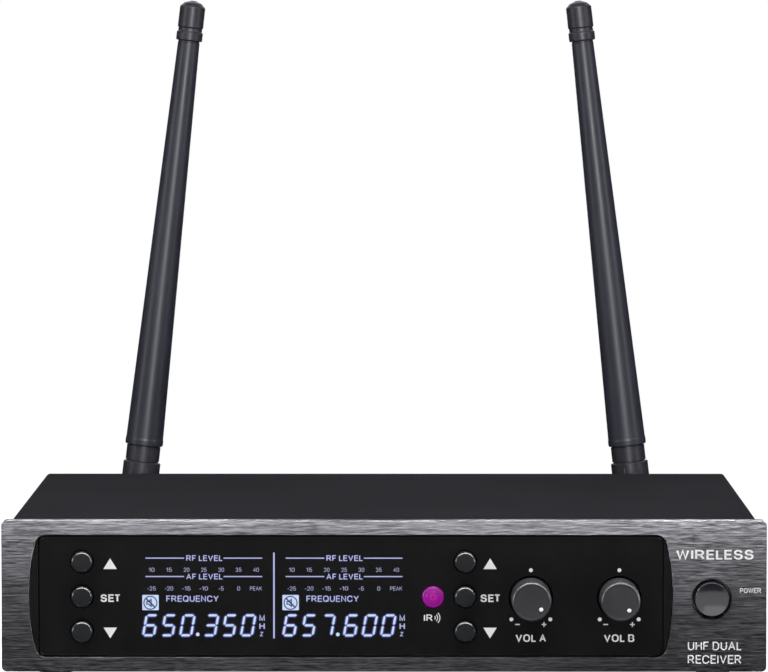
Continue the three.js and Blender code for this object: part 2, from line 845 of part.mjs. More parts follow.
const whipTip = () =>
  whipPiece([
    [0, whip.sleeveTop - 4],
    [2, whip.sleeveTop - 4],
    [2, whip.sleeveTop + GAP],
    [3.6, whip.sleeveTop + GAP],
    [4.1, whip.sleeveTop + 1.2],
    [4.1, whip.ringTop - 0.8],
    [3.7, whip.ringTop],
    [3.7, whip.grooveTop],
    [4, whip.grooveTop + 0.3],
    [4, whip.shoulder],
    [2.6, whip.tip - 0.7],
    [1, whip.tip],
    [0, whip.tip],
  ]);

// The thin coaxial lead from a socket's rear contact down to its radio module.
function coaxLead(side) {
  const route = new THREE.CatmullRomCurve3([
    new THREE.Vector3(side * antenna.x, 146.7, antenna.z),
    new THREE.Vector3(side * antenna.x, 142, antenna.z),
    new THREE.Vector3(side * (antenna.x - 2), 134, antenna.z - 3),
    new THREE.Vector3(side * (antenna.x - 5), 125, antenna.z - 4),
    new THREE.Vector3(side * 70, 115, antenna.z - 4.5),
    new THREE.Vector3(side * 70, 109.5, 22.4),
    new THREE.Vector3(side * 70, 108.5, mainBoardTop + 8 + 2 * GAP),
  ]);
  const section = new THREE.Shape();
  section.absarc(0, 0, 0.9, 0, 2 * Math.PI);
  const geometry = new THREE.ExtrudeGeometry(section, { steps: 24, extrudePath: route, curveSegments: 4 });
  return solid(geometry);
}

for (const [name, side] of [["left", -1], ["right", 1]]) {
  const axis = new THREE.Group();
  axis.position.set(side * antenna.x, 0, antenna.z);
  const leaning = new THREE.Group();
  leaning.rotation.y = THREE.MathUtils.degToRad(-side * antenna.leanDegrees);
  leaning.add(
    mesh(`antenna_base_${name}`, antennaBase(), finishes.antennaPlastic()),
    mesh(`antenna_pin_${name}`, foldRod(1.2, 5.2), finishes.nickel()),
    mesh(`antenna_knuckle_${name}`, antennaKnuckle(), finishes.antennaPlastic()),
    mesh(`antenna_core_${name}`, whipCore(), finishes.antennaPlastic()),
    mesh(`antenna_sleeve_${name}`, whipSleeve(), finishes.rubber()),
    mesh(`antenna_tip_${name}`, whipTip(), finishes.antennaPlastic()),
  );
  axis.add(
    mesh(`antenna_socket_${name}`, antennaSocket(), finishes.nickel()),
    mesh(`coupling_ring_${name}`, couplingRing(), finishes.nickel()),
    leaning,
  );
  add(axis, mesh(`antenna_lead_${name}`, coaxLead(side), finishes.cableJacket()));
}

export default receiver;
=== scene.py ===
"""The looks of a half-rack, dual-channel wireless receiver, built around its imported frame.

Sizes are in millimetres. X runs to the right seen from the front, Y is the depth behind the front panel's
face and Z the height above the table, until a piece's mesh is placed in the row frame, which is in metres.
"""

import logging
import math
from dataclasses import dataclass, field
from enum import Enum

import bmesh
import bpy
from mathutils import Matrix, Vector


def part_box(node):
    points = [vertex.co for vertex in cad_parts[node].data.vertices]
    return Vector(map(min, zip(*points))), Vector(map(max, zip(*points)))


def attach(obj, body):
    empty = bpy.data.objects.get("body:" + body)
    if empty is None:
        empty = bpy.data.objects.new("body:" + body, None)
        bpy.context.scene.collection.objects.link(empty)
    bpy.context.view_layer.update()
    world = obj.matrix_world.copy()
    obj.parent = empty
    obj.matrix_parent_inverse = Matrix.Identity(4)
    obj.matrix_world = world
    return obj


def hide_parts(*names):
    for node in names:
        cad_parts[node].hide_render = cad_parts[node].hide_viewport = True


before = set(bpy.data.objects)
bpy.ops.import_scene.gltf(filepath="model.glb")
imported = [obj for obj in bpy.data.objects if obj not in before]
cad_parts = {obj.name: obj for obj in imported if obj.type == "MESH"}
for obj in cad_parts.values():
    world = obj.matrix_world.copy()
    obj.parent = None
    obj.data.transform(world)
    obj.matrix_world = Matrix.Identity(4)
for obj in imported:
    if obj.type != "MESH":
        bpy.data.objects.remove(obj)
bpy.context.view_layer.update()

MM = 0.001  # a millimetre in metres
FACE_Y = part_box("front_panel")[0].y  # the panel's front face
GAP = 0.3  # between pieces that meet, in millimetres
KNOB_HEIGHT = 22.5  # the knobs' middle above the table

log = logging.getLogger("receiver")

Point2 = tuple[float, float]
Point3 = tuple[float, float, float]
Rgb = tuple[float, float, float]
Piece = bpy.types.Object
Socket = bpy.types.NodeSocket
Tree = bpy.types.GeometryNodeTree


# ---- Places ----


def spot(x: float, y: float, z: float) -> Vector:
    """A point in the row frame, in metres, from millimetres right, behind the panel's face and up."""
    return Vector((x * MM, FACE_Y + y * MM, z * MM))


def node_span(node: str) -> tuple[Vector, Vector]:
    """The low and high corner of a CAD node, in millimetres from the panel's face and the table."""
    low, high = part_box(node)
    datum = Vector((0, FACE_Y, 0))
    return (low - datum) / MM, (high - datum) / MM


def node_middle(node: str) -> Vector:
    """The middle of a CAD node's box, in millimetres from the panel's face and the table."""
    low, high = node_span(node)
    return (low + high) / 2


def placed(x: float = 0, y: float = 0, z: float = 0) -> Matrix:
    """The placement of a piece that is drawn in X, depth and height, moved to a point."""
    return Matrix.Translation(spot(x, y, z)) @ Matrix.Scale(MM, 4)


def depthwise(x: float, z: float) -> Matrix:
    """The placement of a piece turned about a line along the depth: its own Z is the depth."""
    return placed(x, 0, z) @ Matrix.Rotation(math.radians(-90), 4, "X")


def facing_front(x: float = 0, y: float = 0, z: float = 0) -> Matrix:
    """The placement of a flat drawing that is read from the front: its own Z points at the reader."""
    return placed(x, y, z) @ Matrix.Rotation(math.radians(90), 4, "X")


def facing_back(x: float, y: float, z: float) -> Matrix:
    """The placement of a flat drawing that is read from behind the case."""
    about_face = Matrix.Rotation(math.radians(180), 4, "Z")
    return placed(x, y, z) @ about_face @ Matrix.Rotation(math.radians(90), 4, "X")


# ---- Outlines ----


def arc(centre: Point2, radius: float, start: float, end: float, steps: int) -> list[Point2]:
    """Points along an arc.

    Args:
        centre: The arc's centre.
        radius: Its radius.
        start: The angle where it starts, in degrees anticlockwise from the right.
        end: The angle where it ends.
        steps: The number of straight stretches.

    Returns:
        The points, both ends included.
    """
    angles = [math.radians(start + (end - start) * i / steps) for i in range(steps + 1)]
    return [(centre[0] + radius * math.cos(a), centre[1] + radius * math.sin(a)) for a in angles]


def circle(centre: Point2, radius: float, sides: int = 64) -> list[Point2]:
    """A closed circle's points."""
    return arc(centre, radius, 0, 360, sides)[:-1]


def rounded_box(low: Point2, high: Point2, corner: float, steps: int = 8) -> list[Point2]:
    """A rectangle with round corners.

    Args:
        low: Its lower left corner.
        high: Its upper right corner.
        corner: The radius of its roundings.
        steps: The straight stretches of each rounding.

    Returns:
        The closed outline's points, anticlockwise.
    """
    (x0, y0), (x1, y1) = low, high
    return [
        *arc((x1 - corner, y0 + corner), corner, -90, 0, steps),
        *arc((x1 - corner, y1 - corner), corner, 0, 90, steps),
        *arc((x0 + corner, y1 - corner), corner, 90, 180, steps),
        *arc((x0 + corner, y0 + corner), corner, 180, 270, steps),
    ]


def softened(corners: list[tuple[float, ...]], steps: int = 6) -> list[Point2]:
    """An open line of corners, with some of them rounded.

    Args:
        corners: Points as (x, y, radius) where the corner is rounded and as (x, y) where it stays sharp.
        steps: The straight stretches of each rounding.

    Returns:
        The rounded line's points.
    """
    points: list[Point2] = []
    for i, (x, y, *rounding) in enumerate(corners):
        if not rounding or i in (0, len(corners) - 1):
            points.append((x, y))
            continue
        here, radius = Vector((x, y)), rounding[0]
        back = (Vector(corners[i - 1][:2]) - here).normalized()
        ahead = (Vector(corners[i + 1][:2]) - here).normalized()
        half = back.angle(ahead) / 2
        reach = radius / math.tan(half)
        centre = here + (back + ahead).normalized() * (radius / math.sin(half))
        first, last = here + back * reach - centre, here + ahead * reach - centre
        sweep = first.angle_signed(last)
        for step in range(steps + 1):
            turned_by = -sweep * step / steps
            c, s = math.cos(turned_by), math.sin(turned_by)
            points.append((centre.x + c * first.x - s * first.y, centre.y + s * first.x + c * first.y))
    return points


# ---- Meshes ----


def new_piece(name: str, mesh: bpy.types.Mesh) -> Piece:
    """Puts a mesh into the scene as a piece."""
    piece = bpy.data.objects.new(name, mesh)
    bpy.context.scene.collection.objects.link(piece)
    return piece


MERGE_MM = 1e-5  # points closer than this are one
MERGE_CAD = 2e-6  # the same for a CAD node's mesh, in metres


def to_piece(name: str, shape: bmesh.types.BMesh, place: Matrix) -> Piece:
    """Makes a piece of a drawn shape.

    Args:
        name: The piece's name.
        shape: The shape, in its own millimetres. It is used up.
        place: The placement that takes it to the row frame.

    Returns:
        The piece, with its faces pointing out and its place in its mesh.
    """
    bmesh.ops.remove_doubles(shape, verts=shape.verts, dist=MERGE_MM)
    bmesh.ops.recalc_face_normals(shape, faces=shape.faces)
    mesh = bpy.data.meshes.new(name)
    shape.to_mesh(mesh)
    shape.free()
    mesh.transform(place)
    return new_piece(name, mesh)


def settled(piece: Piece) -> Piece:
    """Turns a piece's live modifiers into its own mesh.

    Args:
        piece: The piece, with the modifiers that shape it.

    Returns:
        The same piece, with its modifiers gone.
    """
    bpy.context.view_layer.update()
    graph = bpy.context.evaluated_depsgraph_get()
    mesh = bpy.data.meshes.new_from_object(piece.evaluated_get(graph), depsgraph=graph)
    piece.modifiers.clear()
    piece.data = mesh
    return piece


def shaded(piece: Piece, sharp_from: float = 32) -> Piece:
    """Shades a piece smoothly.

    Args:
        piece: The piece.
        sharp_from: Edges that turn by more than this many degrees stay crisp.

    Returns:
        The same piece.
    """
    piece.data.shade_smooth()
    piece.data.set_sharp_from_angle(angle=math.radians(sharp_from))
    return piece


def flattened(piece: Piece) -> Piece:
    """Lets the large faces keep their own normals, so that only the roundings between them catch light.

    Args:
        piece: The piece.

    Returns:
        The same piece.
    """
    weighted = piece.modifiers.new("normals", "WEIGHTED_NORMAL")
    weighted.mode = "FACE_AREA"
    weighted.keep_sharp = True
    return settled(piece)


def eased(piece: Piece, width: float, segments: int = 3, angle: float = 38) -> Piece:
    """Rounds a piece's edges.

    Args:
        piece: The piece.
        width: The rounding's width in millimetres.
        segments: The number of facets across it.
        angle: Edges that turn by more than this many degrees are rounded.

    Returns:
        The same piece, rounded and smoothly shaded.
    """
    bevel = piece.modifiers.new("edges", "BEVEL")
    bevel.width = width * MM
    bevel.segments = segments
    bevel.limit_method = "ANGLE"
    bevel.angle_limit = math.radians(angle)
    bevel.miter_outer = "MITER_ARC"
    return shaded(settled(piece))


def carved(piece: Piece, *tools: Piece) -> Piece:
    """Cuts tools out of a piece, and removes the tools.

    Args:
        piece: The piece that is cut.
        tools: The solids that are taken away from it.

    Returns:
        The same piece.
    """
    for tool in tools:
        boolean = piece.modifiers.new("cut", "BOOLEAN")
        boolean.operation = "DIFFERENCE"
        boolean.solver = "EXACT"
        boolean.object = tool
    settled(piece)
    for tool in tools:
        bpy.data.objects.remove(tool)
    return piece


def joined(name: str, pieces: list[Piece]) -> Piece:
    """Joins pieces into one, which keeps their materials, and removes them.

    Args:
        name: The name of the whole.
        pieces: The pieces to join.

    Returns:
        The whole.
    """
    whole = bmesh.new()
    materials: list[bpy.types.Material] = []
    for piece in pieces:
        first = len(whole.faces)
        whole.from_mesh(piece.data)
        whole.faces.ensure_lookup_table()
        own = list(piece.data.materials)
        for face in whole.faces[first:]:
            used = own[face.material_index] if own else None
            if used is not None and used not in materials:
                materials.append(used)
            face.material_index = materials.index(used) if used is not None else 0
    mesh = bpy.data.meshes.new(name)
    whole.to_mesh(mesh)
    whole.free()
    for material in materials:
        mesh.materials.append(material)
    for piece in pieces:
        bpy.data.objects.remove(piece)
    return new_piece(name, mesh)


ON_AXIS = 1e-6  # a profile's point nearer than this is on the axis


def turned(name: str, profile: list[Point2], place: Matrix, sides: int = 72) -> Piece:
    """Turns a profile about its own Z axis.

    Args:
        name: The piece's name.
        profile: Points as (radius, along). It starts and ends on the axis, or closes on itself.
        place: The placement.
        sides: The number of facets round the axis.

    Returns:
        The closed, smoothly shaded piece.
    """
    shape = bmesh.new()
    rings: list[list[bmesh.types.BMVert]] = []
    for radius, along in profile:
        if radius < ON_AXIS:
            rings.append([shape.verts.new((0, 0, along))])
            continue
        turns = [2 * math.pi * i / sides for i in range(sides)]
        rings.append([shape.verts.new((radius * math.cos(a), radius * math.sin(a), along)) for a in turns])
    for near, far in zip(rings, rings[1:]):
        for i in range(sides):
            corners = [near[i % len(near)], near[(i + 1) % sides % len(near)]]
            corners += [far[(i + 1) % sides % len(far)], far[i % len(far)]]
            unique = list(dict.fromkeys(corners))
            if len(unique) > 2:
                shape.faces.new(unique)
    return shaded(to_piece(name, shape, place))


def plate(
    name: str,
    outline: list[Point2],
    depth: tuple[float, float],
    place: Matrix,
    holes: tuple[list[Point2], ...] = (),
) -> Piece:
    """Fills an outline and gives it a thickness.

    Args:
        name: The piece's name.
        outline: The outer outline, in the drawing's own X and Y.
        depth: The low and high Z of the two faces.
        place: The placement.
        holes: Outlines of the openings through it.

    Returns:
        The closed piece, with flat shading.
    """
    shape = bmesh.new()
    for loop in (outline, *holes):
        corners = [shape.verts.new((x, y, depth[0])) for x, y in loop]
        for a, b in zip(corners, corners[1:] + corners[:1]):
            shape.edges.new((a, b))
    bmesh.ops.triangle_fill(
        shape, use_beauty=True, use_dissolve=False, edges=shape.edges[:], normal=(0, 0, 1)
    )
    pushed = bmesh.ops.extrude_face_region(shape, geom=shape.faces[:], use_keep_orig=True)
    moved = [item for item in pushed["geom"] if isinstance(item, bmesh.types.BMVert)]
    bmesh.ops.translate(shape, verts=moved, vec=(0, 0, depth[1] - depth[0]))
    return to_piece(name, shape, place)


def block(name: str, low: Point3, high: Point3, place: Matrix) -> Piece:
    """A brick, for cutting with or for rounding afterwards.

    Args:
        name: The piece's name.
        low: Its lowest corner, in the drawing's own millimetres.
        high: Its highest corner.
        place: The placement.

    Returns:
        The piece.
    """
    corners = [(low[0], low[1]), (high[0], low[1]), (high[0], high[1]), (low[0], high[1])]
    return plate(name, corners, (low[2], high[2]), place)


def refined(node: str, width: float, segments: int = 2) -> Piece:
    """A copy of a CAD node with merged faces and rounded edges.

    Args:
        node: The CAD node.
        width: The rounding's width in millimetres.
        segments: The number of facets across it.

    Returns:
        The piece, named after the node.
    """
    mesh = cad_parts[node].data.copy()
    shape = bmesh.new()
    shape.from_mesh(mesh)
    shape.faces.ensure_lookup_table()
    bmesh.ops.remove_doubles(shape, verts=shape.verts, dist=MERGE_CAD)
    bmesh.ops.dissolve_limit(shape, angle_limit=math.radians(1), verts=shape.verts, edges=shape.edges)
    shape.to_mesh(mesh)
    shape.free()
    mesh.materials.clear()
    return eased(new_piece(f"{node}_finished", mesh), width, segments)


# ---- Geometry node trees ----


class TreeMaker:
    """A geometry node tree while it is being made, with named inputs for its sizes."""

    def __init__(self, name: str, inputs: dict[str, str]) -> None:
        """Starts a tree.

        Args:
            name: The tree's name.
            inputs: The kind of socket of each named input.
        """
        self.tree = bpy.data.node_groups.new(name, "GeometryNodeTree")
        face = self.tree.interface
        face.new_socket("Geometry", in_out="INPUT", socket_type="NodeSocketGeometry")
        for label, kind in inputs.items():
            face.new_socket(label, in_out="INPUT", socket_type=f"NodeSocket{kind}")
        face.new_socket("Geometry", in_out="OUTPUT", socket_type="NodeSocketGeometry")
        self.given = self.tree.nodes.new("NodeGroupInput")
        self.made = self.tree.nodes.new("NodeGroupOutput")

    def add(self, kind: str, inputs: dict | None = None, **settings: object) -> bpy.types.Node:
        """Adds a node.

        Args:
            kind: The node's type, without its prefix where that is GeometryNode.
            inputs: Each input's value, or the socket that feeds it.
            settings: The node's own properties.

        Returns:
            The node.
        """
        full = kind if kind.startswith(("Shader", "Function")) else f"GeometryNode{kind}"
        node = self.tree.nodes.new(full)
        for key, value in settings.items():
            setattr(node, key, value)
        for key, value in (inputs or {}).items():
            if isinstance(value, Socket):
                self.tree.links.new(value, node.inputs[key])
            else:
                node.inputs[key].default_value = value
        return node

    def math(self, operation: str, first: object, second: object = 0.0) -> Socket:
        """The result of one arithmetic step."""
        return self.add("ShaderNodeMath", {0: first, 1: second}, operation=operation).outputs[0]

    def value(self, label: str) -> Socket:
        """The socket of a named input."""
        return self.given.outputs[label]

    def end(self, instances: Socket) -> Tree:
        """Ends the tree with its instances made real and given their material."""
        real = self.add("RealizeInstances", {"Geometry": instances}).outputs[0]
        dressed = self.add("SetMaterial", {"Geometry": real, "Material": self.value("Material")})
        self.tree.links.new(dressed.outputs[0], self.made.inputs[0])
        return self.tree


def grown(name: str, tree: Tree, values: dict[str, object], place: Matrix,
          points: bpy.types.Mesh | None = None) -> Piece:
    """Runs a tree and keeps its result as a plain mesh.

    Args:
        name: The piece's name.
        tree: The tree.
        values: The value of each named input.
        place: The placement of the result.
        points: The mesh that the tree starts from, if it needs one.

    Returns:
        The piece, smoothly shaded, with its modifier gone.
    """
    piece = new_piece(name, points or bpy.data.meshes.new(name))
    modifier = piece.modifiers.new("grow", "NODES")
    modifier.node_group = tree
    for item in tree.interface.items_tree:
        if item.in_out == "INPUT" and item.name in values:
            modifier[item.identifier] = values[item.name]
    settled(piece)
    piece.data.transform(place)
    return shaded(piece)


def ribs_tree() -> Tree:
    """Straight ribs round a hub, along its own Z axis."""
    maker = TreeMaker("ribs", {"Count": "Int", "Radius": "Float", "Proud": "Float", "Width": "Float",
                               "Low": "Float", "High": "Float", "Material": "Material"})
    hub = maker.add("MeshCircle", {"Vertices": maker.value("Count"), "Radius": maker.value("Radius")})
    length = maker.math("SUBTRACT", maker.value("High"), maker.value("Low"))
    middle = maker.math("MULTIPLY", maker.math("ADD", maker.value("High"), maker.value("Low")), 0.5)
    across = maker.math("MULTIPLY", maker.value("Width"), 0.5)
    rib = maker.add("MeshCylinder", {"Vertices": 8, "Radius": across, "Depth": length})
    flat = maker.math("DIVIDE", maker.math("MULTIPLY", maker.value("Proud"), 2.0), maker.value("Width"))
    squeeze = maker.add("ShaderNodeCombineXYZ", {"X": flat, "Y": 1.0, "Z": 1.0})
    lift = maker.add("ShaderNodeCombineXYZ", {"Z": middle})
    thin = maker.add("Transform", {"Geometry": rib.outputs["Mesh"], "Scale": squeeze.outputs[0],
                                   "Translation": lift.outputs[0]})
    outwards = maker.add("InputPosition").outputs[0]
    turn = maker.add("FunctionNodeAlignRotationToVector", {"Vector": outwards}, axis="X", pivot_axis="Z")
    ring = maker.add("InstanceOnPoints", {"Points": hub.outputs["Mesh"], "Instance": thin.outputs[0],
                                          "Rotation": turn.outputs[0]})
    return maker.end(ring.outputs[0])


def marks_tree() -> Tree:
    """Round marks spread along an arc, as on the scale of a dial."""
    maker = TreeMaker("marks", {"Count": "Int", "Radius": "Float", "Sweep": "Float", "Mark Radius": "Float",
                                "Thickness": "Float", "Material": "Material"})
    row = maker.add("MeshLine", {"Count": maker.value("Count")}, mode="OFFSET")
    index = maker.add("InputIndex").outputs[0]
    gaps = maker.math("SUBTRACT", maker.value("Count"), 1.0)
    share = maker.math("SUBTRACT", maker.math("DIVIDE", index, gaps), 0.5)
    angle = maker.math("MULTIPLY", share, maker.value("Sweep"))
    right = maker.math("MULTIPLY", maker.math("SINE", angle), maker.value("Radius"))
    up = maker.math("MULTIPLY", maker.math("COSINE", angle), maker.value("Radius"))
    place = maker.add("ShaderNodeCombineXYZ", {"X": right, "Y": up})
    spread = maker.add("SetPosition", {"Geometry": row.outputs["Mesh"], "Position": place.outputs[0]})
    mark = maker.add("MeshCylinder", {"Vertices": 24, "Radius": maker.value("Mark Radius"),
                                      "Depth": maker.value("Thickness")})
    marks = maker.add("InstanceOnPoints", {"Points": spread.outputs[0], "Instance": mark.outputs["Mesh"]})
    return maker.end(marks.outputs[0])


def scatter_tree() -> Tree:
    """Copies of one object on points, each turned to its point's facing, then leaned right by a slant."""
    maker = TreeMaker("scatter", {"Copy": "Object", "Slant": "Float", "Material": "Material"})
    source = maker.add("ObjectInfo", {"Object": maker.value("Copy")}, transform_space="ORIGINAL")
    facing = maker.add("InputNamedAttribute", {"Name": "facing"}, data_type="FLOAT_VECTOR")
    turn = maker.add("FunctionNodeAlignRotationToVector", {"Vector": facing.outputs[0]}, axis="Z")
    points = maker.given.outputs["Geometry"]
    copies = maker.add("InstanceOnPoints", {"Points": points, "Instance": source.outputs["Geometry"],
                                            "Rotation": turn.outputs[0]})
    real = maker.add("RealizeInstances", {"Geometry": copies.outputs[0]})
    place = maker.add("ShaderNodeSeparateXYZ", {"Vector": maker.add("InputPosition").outputs[0]})
    right = maker.math("MULTIPLY", place.outputs["Z"], maker.value("Slant"))
    lean = maker.add("ShaderNodeCombineXYZ", {"X": right})
    leaned = maker.add("SetPosition", {"Geometry": real.outputs[0], "Offset": lean.outputs[0]})
    return maker.end(leaned.outputs[0])


def facing_points(name: str, places: list[tuple[Point3, Point3]]) -> bpy.types.Mesh:
    """A mesh of points that each know which way a copy on them faces.

    Args:
        name: The mesh's name.
        places: A point and a direction for each copy.

    Returns:
        The mesh, with a vector attribute named facing.
    """
    mesh = bpy.data.meshes.new(name)
    mesh.from_pydata([point for point, _ in places], [], [])
    facing = mesh.attributes.new("facing", "FLOAT_VECTOR", "POINT")
    for item, (_, direction) in zip(facing.data, places):
        item.vector = direction
    return mesh


# ---- Finishes ----


class Shader:
    """One material's node tree, with its Principled shader, while it is being made."""

    def __init__(self, name: str) -> None:
        """Starts a material."""
        self.material = bpy.data.materials.new(name)
        self.material.use_nodes = True
        self.tree = self.material.node_tree
        self.surface = self.tree.nodes["Principled BSDF"]

    def add(self, kind: str, inputs: dict | None = None, **settings: object) -> bpy.types.Node:
        """Adds a shader node.

        Args:
            kind: The node's type, without ShaderNode.
            inputs: Each input's value, or the socket that feeds it.
            settings: The node's own properties.

        Returns:
            The node.
        """
        node = self.tree.nodes.new(f"ShaderNode{kind}")
        for key, value in settings.items():
            setattr(node, key, value)
        for key, value in (inputs or {}).items():
            if isinstance(value, Socket):
                self.tree.links.new(value, node.inputs[key])
            else:
                node.inputs[key].default_value = value
        return node

    def set(self, **values: object) -> None:
        """Sets the Principled shader's sockets. An underscore in a name stands for a space."""
        for key, value in values.items():
            socket = self.surface.inputs[key.replace("_", " ")]
            if isinstance(value, Socket):
                self.tree.links.new(value, socket)
            elif isinstance(value, tuple):
                socket.default_value = (*value, 1.0)
            else:
                socket.default_value = value

    def grain(self, per_mm: Point3, detail: float = 4, roughness: float = 0.55) -> Socket:
        """Noise on the object's own coordinates.

        Args:
            per_mm: How many grains there are to the millimetre along X, Y and Z.
            detail: How many finer layers are added.
            roughness: How strong they are.

        Returns:
            The noise, from 0 to 1.
        """
        where = self.add("TexCoord").outputs["Object"]
        scale = tuple(g / MM for g in per_mm)
        mapped = self.add("Mapping", {"Vector": where, "Scale": scale}).outputs[0]
        noise = self.add("TexNoise", {"Vector": mapped, "Scale": 1.0, "Detail": detail,
                                      "Roughness": roughness})
        return noise.outputs["Fac"]

    def between(self, fac: Socket, low: float, high: float,
                start: float = 0.3, stop: float = 0.7) -> Socket:
        """Takes a grain to a value.

        Args:
            fac: The grain.
            low: The value at the start of its range.
            high: The value at the end of its range.
            start: Where the grain's range starts.
            stop: Where it ends.

        Returns:
            The value.
        """
        return self.add("MapRange", {"Value": fac, "From Min": start, "From Max": stop,
                                     "To Min": low, "To Max": high}).outputs[0]

    def colors(self, fac: Socket, low: Rgb, high: Rgb,
               start: float = 0.3, stop: float = 0.7) -> Socket:
        """Takes a grain to a colour.

        Args:
            fac: The grain.
            low: The colour at the start of its range.
            high: The colour at the end of its range.
            start: Where the grain's range starts.
            stop: Where it ends.

        Returns:
            The colour.
        """
        ramp = self.add("ValToRGB", {"Fac": fac})
        ramp.color_ramp.elements[0].position = start
        ramp.color_ramp.elements[0].color = (*low, 1)
        ramp.color_ramp.elements[1].position = stop
        ramp.color_ramp.elements[1].color = (*high, 1)
        return ramp.outputs["Color"]

    def relief(self, *layers: tuple[Socket, float]) -> None:
        """Gives the surface a bump.

        Args:
            layers: Grains, each with its height in millimetres.
        """
        normal: Socket | None = None
        for height, depth in layers:
            inputs = {"Height": height, "Distance": depth * MM, "Strength": 1.0}
            if normal is not None:
                inputs["Normal"] = normal
            normal = self.add("Bump", inputs).outputs[0]
        self.set(Normal=normal)


def scaled(color: Rgb, by: float) -> Rgb:
    """A lighter or darker colour."""
    return tuple(min(1.0, c * by) for c in color)


@dataclass(frozen=True)
class BrushedMetal:
    """Metal with straight brush lines along X, short ones over long ones, and a faint cloudy tone."""

    name: str
    color: Rgb
    roughness: float = 0.36
    contrast: float = 0.6
    line_height: float = 0.0012
    long_lines: Point3 = (0.05, 0.05, 4.4)
    short_lines: Point3 = (0.3, 0.3, 5.5)
    short_share: float = 0.62

    def material(self) -> bpy.types.Material:
        """The finished material."""
        shader = Shader(self.name)
        coarse = shader.grain(self.long_lines, detail=1, roughness=0.5)
        fine = shader.grain(self.short_lines, detail=2, roughness=0.6)
        cloud = shader.grain((0.03, 0.03, 0.06), detail=2)
        share = {"Factor": self.short_share, 2: coarse, 3: fine}
        lines = shader.add("Mix", share, data_type="FLOAT").outputs[0]
        dark, light = scaled(self.color, 1 - self.contrast), scaled(self.color, 1 + self.contrast)
        tone = shader.colors(lines, dark, light, 0.35, 0.65)
        veil = shader.colors(cloud, (0.86, 0.86, 0.87), (1.0, 1.0, 1.0))
        mixed = shader.add("MixRGB", {"Fac": 1.0, "Color1": tone, "Color2": veil}, blend_type="MULTIPLY")
        shader.set(Base_Color=mixed.outputs[0], Metallic=1.0, Anisotropic=0.6,
                   Roughness=shader.between(fine, self.roughness - 0.07, self.roughness + 0.09))
        shader.relief((coarse, self.line_height), (fine, self.line_height * 0.6))
        return shader.material


@dataclass(frozen=True)
class CoatedSteel:
    """Sheet steel under a fine-textured, satin powder coat."""

    name: str
    color: Rgb
    roughness: float = 0.5
    texture: float = 0.02
    specular: float = 0.3

    def material(self) -> bpy.types.Material:
        """The finished material."""
        shader = Shader(self.name)
        peel = shader.grain((1.6, 1.6, 1.6), detail=3)
        speck = shader.grain((5, 5, 5), detail=2, roughness=0.7)
        patch = shader.grain((0.02, 0.02, 0.02), detail=3)
        shader.set(Base_Color=shader.colors(patch, scaled(self.color, 0.88), scaled(self.color, 1.12)),
                   Roughness=shader.between(speck, self.roughness - 0.06, self.roughness + 0.08),
                   Specular_IOR_Level=self.specular)
        shader.relief((peel, self.texture), (speck, self.texture * 0.3))
        return shader.material


@dataclass(frozen=True)
class Plastic:
    """Moulded plastic or rubber, from gloss to matte, with spark grain, haze and a soft change of tone, and
    where asked a painted glow.
    """

    name: str
    color: Rgb
    roughness: float = 0.4
    grain: float = 3.0
    depth: float = 0.008
    specular: float = 0.5
    coat: float = 0.0
    # Painted glow: emission on a part that is no lamp.
    glow: float = 0.0

    def material(self) -> bpy.types.Material:
        """The finished material."""
        shader = Shader(self.name)
        spark = shader.grain((self.grain,) * 3, detail=3, roughness=0.6)
        haze = shader.grain((0.09, 0.09, 0.05), detail=4, roughness=0.65)
        shader.set(Base_Color=shader.colors(haze, scaled(self.color, 0.85), scaled(self.color, 1.15)),
                   Roughness=shader.between(haze, self.roughness * 0.86, self.roughness * 1.16),
                   Specular_IOR_Level=self.specular)
        if self.coat:
            shader.set(Coat_Weight=self.coat, Coat_Roughness=0.06)
        # Painted light: the part emits its own colour though it is no lamp.
        if self.glow:
            shader.set(Emission_Color=self.color, Emission_Strength=self.glow)
        shader.relief((spark, self.depth))
        return shader.material


@dataclass(frozen=True)
class TurnedMetal:
    """Plated or machined metal with fine tool marks and a few dull patches."""

    name: str
    color: Rgb
    roughness: float = 0.22

    def material(self) -> bpy.types.Material:
        """The finished material."""
        shader = Shader(self.name)
        marks = shader.grain((0.6, 7.0, 0.6), detail=3)
        dull = shader.grain((0.35, 0.35, 0.35), detail=4, roughness=0.7)
        shader.set(Base_Color=shader.colors(dull, scaled(self.color, 0.9), self.color), Metallic=1.0,
                   Roughness=shader.between(dull, self.roughness, self.roughness + 0.09))
        shader.relief((marks, 0.0015))
        return shader.material


@dataclass(frozen=True)
class PrintedInk:
    """Screen-printed ink with a slightly uneven film."""

    name: str
    color: Rgb
    roughness: float = 0.55

    def material(self) -> bpy.types.Material:
        """The finished material."""
        shader = Shader(self.name)
        film = shader.grain((4, 4, 4), detail=3)
        shader.set(Base_Color=shader.colors(film, scaled(self.color, 0.9), self.color),
                   Roughness=shader.between(film, self.roughness - 0.1, self.roughness + 0.1))
        shader.relief((film, 0.004))
        return shader.material


@dataclass(frozen=True)
class LitSegments:
    """The lit characters of a liquid crystal display, with the backlight's slight unevenness."""

    name: str
    color: Rgb
    strength: float

    def material(self) -> bpy.types.Material:
        """The finished material."""
        shader = Shader(self.name)
        cloud = shader.grain((0.25, 0.25, 0.25), detail=2)
        tone = shader.colors(cloud, scaled(self.color, 0.88), self.color)
        shader.set(Base_Color=(0.02, 0.02, 0.03), Roughness=0.3, Emission_Color=tone,
                   Emission_Strength=self.strength)
        return shader.material


